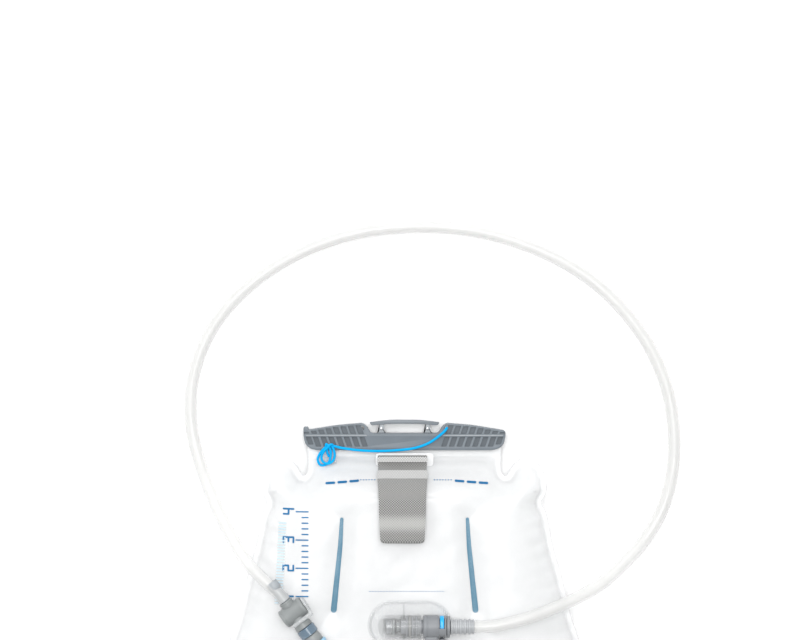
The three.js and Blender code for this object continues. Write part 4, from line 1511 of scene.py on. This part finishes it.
# From the valve's own place (along the flow, across it and up, from the hose's end) to the bag's.
VALVE_PLACE = Matrix((
    (VALVE_AXIS[0], ACROSS[0], 0, VALVE_START[0]),
    (VALVE_AXIS[1], ACROSS[1], 0, VALVE_START[1]),
    (0, 0, 1, VALVE_START[2]),
    (0, 0, 0, 1),
))
BARREL = 10.3
LEVER_LEAN = math.radians(45)


def in_line(name, profile, sides=72):
    """A piece turned about the line of flow, from (along, radius) millimetres from the hose's end."""
    return turned(name, mm(profile), VALVE_START, VALVE_AXIS, sides)


def cross_axis(name, profile, sides=72, along=BARREL, up=0.0):
    """A piece turned about the barrel's own axis, which crosses the flow."""
    origin = VALVE_PLACE @ Vector((along * MM, 0, up * MM))
    return turned(name, mm(profile), origin, ACROSS, sides)


def valve_body():
    """The neck and the barrel in one moulding, the collar below it, and the barb inside the tube."""
    neck = in_line("neck", [(0, 0), (0, 4.8), (0.4, 5.2), (1.3, 5.2), (1.5, 5.0), (1.9, 5.0), (2.1, 5.2),
                            (4.2, 5.2), (5.4, 4.6), (14, 4.6), (15.4, 5.6),
                            (17.4, 5.6), (18.0, 5.8), (22.6, 6.75), (23.7, 6.75), (24, 6.4), (24, 0)])
    barrel = cross_axis("barrel", [(-8.9, 0), (-8.9, 5.2), (-9.4, 5.5), (-9.4, 6.4), (-8.9, 7.0), (-8.3, 7.1),
                                   (-7.6, 7.1), (-7.4, 6.9), (-7.0, 6.9), (-6.8, 7.1), (6.8, 7.1),
                                   (7.2, 7.35), (8.6, 7.35), (9.1, 7.1), (9.6, 6.7), (9.6, 0)])
    cuts = [cross_axis("seat", [(-7.6, 0), (-7.6, 5.9), (12, 5.9), (12, 0)]),
            in_line("passage", [(-2, 0), (-2, 2.6), (30, 2.6), (30, 0)], 40)]
    body = combined(combined(neck, [barrel], "UNION"), cuts, "DIFFERENCE")
    body.name = "valve_moulding"
    place(shade(body), "valve", "bladder", "valve_body")
    collar = in_line("collar_ring", [(24.3, 3.4), (24.3, 6.9), (24.7, 7.3), (30.5, 7.3), (31.0, 6.9),
                                     (31.0, 3.4)])
    place(collar, "smoke", "bladder", "valve_collar")
    barb = [(-17.6, 2.3), (-17.6, 4.2), (-17.1, 4.5), (-13.2, 4.6), (-11.6, 4.5), (-11.0, 4.1), (-10.8, 3.7),
            (-4.4, 3.8), (-4.1, 4.1), (-0.3, 4.2),
            (-0.3, 2.3)]
    place(in_line("valve_barb", barb, 48), "post", "bladder")


def lever_and_spool():
    """The spool with its bore and ring, and the lever: a hub, a leaning arm and a finger bar."""
    spool = cross_axis("spool_core", [(-7.2, 0), (-7.2, 5.3), (-6.9, 5.6), (6.0, 5.6), (6.1, 4.7), (7.5, 4.7),
                                      (7.6, 5.6), (9.1, 5.6), (9.4, 5.3), (9.4, 0)])
    spool = combined(spool, [in_line("spool_bore", [(0, 0), (0, 2.6), (20, 2.6), (20, 0)], 40)], "DIFFERENCE")
    place(shade(spool), "valve", "lever", "valve_spool")
    place(cross_axis("spool_ring", ring_profile(6.8, 5.2, 0.55)), "seal", "lever", "spool_oring")
    hub = cross_axis("hub", [(9.9, 0), (9.9, 5.5), (10.2, 5.8), (11.5, 5.8), (11.9, 5.4), (11.9, 3.4),
                             (11.5, 3.0), (11.5, 0)])
    tip = 11 * math.cos(LEVER_LEAN)
    arm = plate("arm", filleted(mm([(-1.4, -2.5), (12.4, -2.3), (12.4, 2.3), (-1.4, 2.5)]), 0.0022, 6),
                -0.001, 0.001, 0.0006)
    lean = Matrix.Rotation(-LEVER_LEAN, 4, "Y")
    lift = VALVE_PLACE @ Matrix.Translation((BARREL * MM, 0.0109, 0)) @ lean @ Matrix.Rotation(math.pi / 2, 4,
                                                                                               "X")
    arm.data.transform(lift)
    finger = cross_axis("finger", [(-6.0, 0), (-5.9, 0.8), (-5.4, 1.35), (-4.6, 1.5), (10.6, 1.7),
                                   (11.0, 1.4), (11.0, 0)], 32, BARREL + tip, tip)
    place(joined("lever_arm", [hub, arm, finger]), "lever", "lever", "shutoff_lever")


def bite_valve():
    """The stem, a coloured band and the soft mouthpiece with its slit."""
    housing = in_line("bite_stem", [(31.3, 2.6), (31.3, 5.9), (31.7, 6.2), (33, 6.6), (37.6, 6.6), (38, 6.3),
                                    (38.1, 4.4), (51.7, 4.4), (52, 4.1), (52, 2.6)])
    place(housing, "valve", "bite", "bite_housing")
    ring = in_line("bite_band", [(38.3, 4.7), (38.3, 7.4), (38.7, 7.8), (40.6, 7.8), (41.0, 7.4),
                                 (41.0, 4.7)])
    place(ring, "pale_blue", "bite", "bite_ring")
    lips = in_line("bite_nozzle", [(41.3, 4.7), (41.3, 7.2), (41.7, 7.6), (46, 8.0), (48.5, 7.9), (49.5, 7.5),
                                   (50.5, 7.5), (51.5, 7.7), (56, 7.4), (60, 6.7), (62, 6.0),
                                   (64, 4.6), (65, 3.4), (65.4, 2.2), (65.4, 0), (63, 0), (63, 2.4),
                                   (53, 2.4), (53, 4.7)])
    slit = block("slit", (0.0628, -0.0018, -0.00012), (0.0670, 0.0018, 0.00012))
    slit.data.transform(VALVE_PLACE)
    place(shade(combined(lips, [slit], "DIFFERENCE")), "silicone", "bite", "mouthpiece")


valve_body()
lever_and_spool()
bite_valve()


# ---------- inner pieces that keep the frame's own shapes ----------
for kept in ("baffle_left", "baffle_right", "mouth_bead"):
    finish(frame["nodes"][kept], "weld")
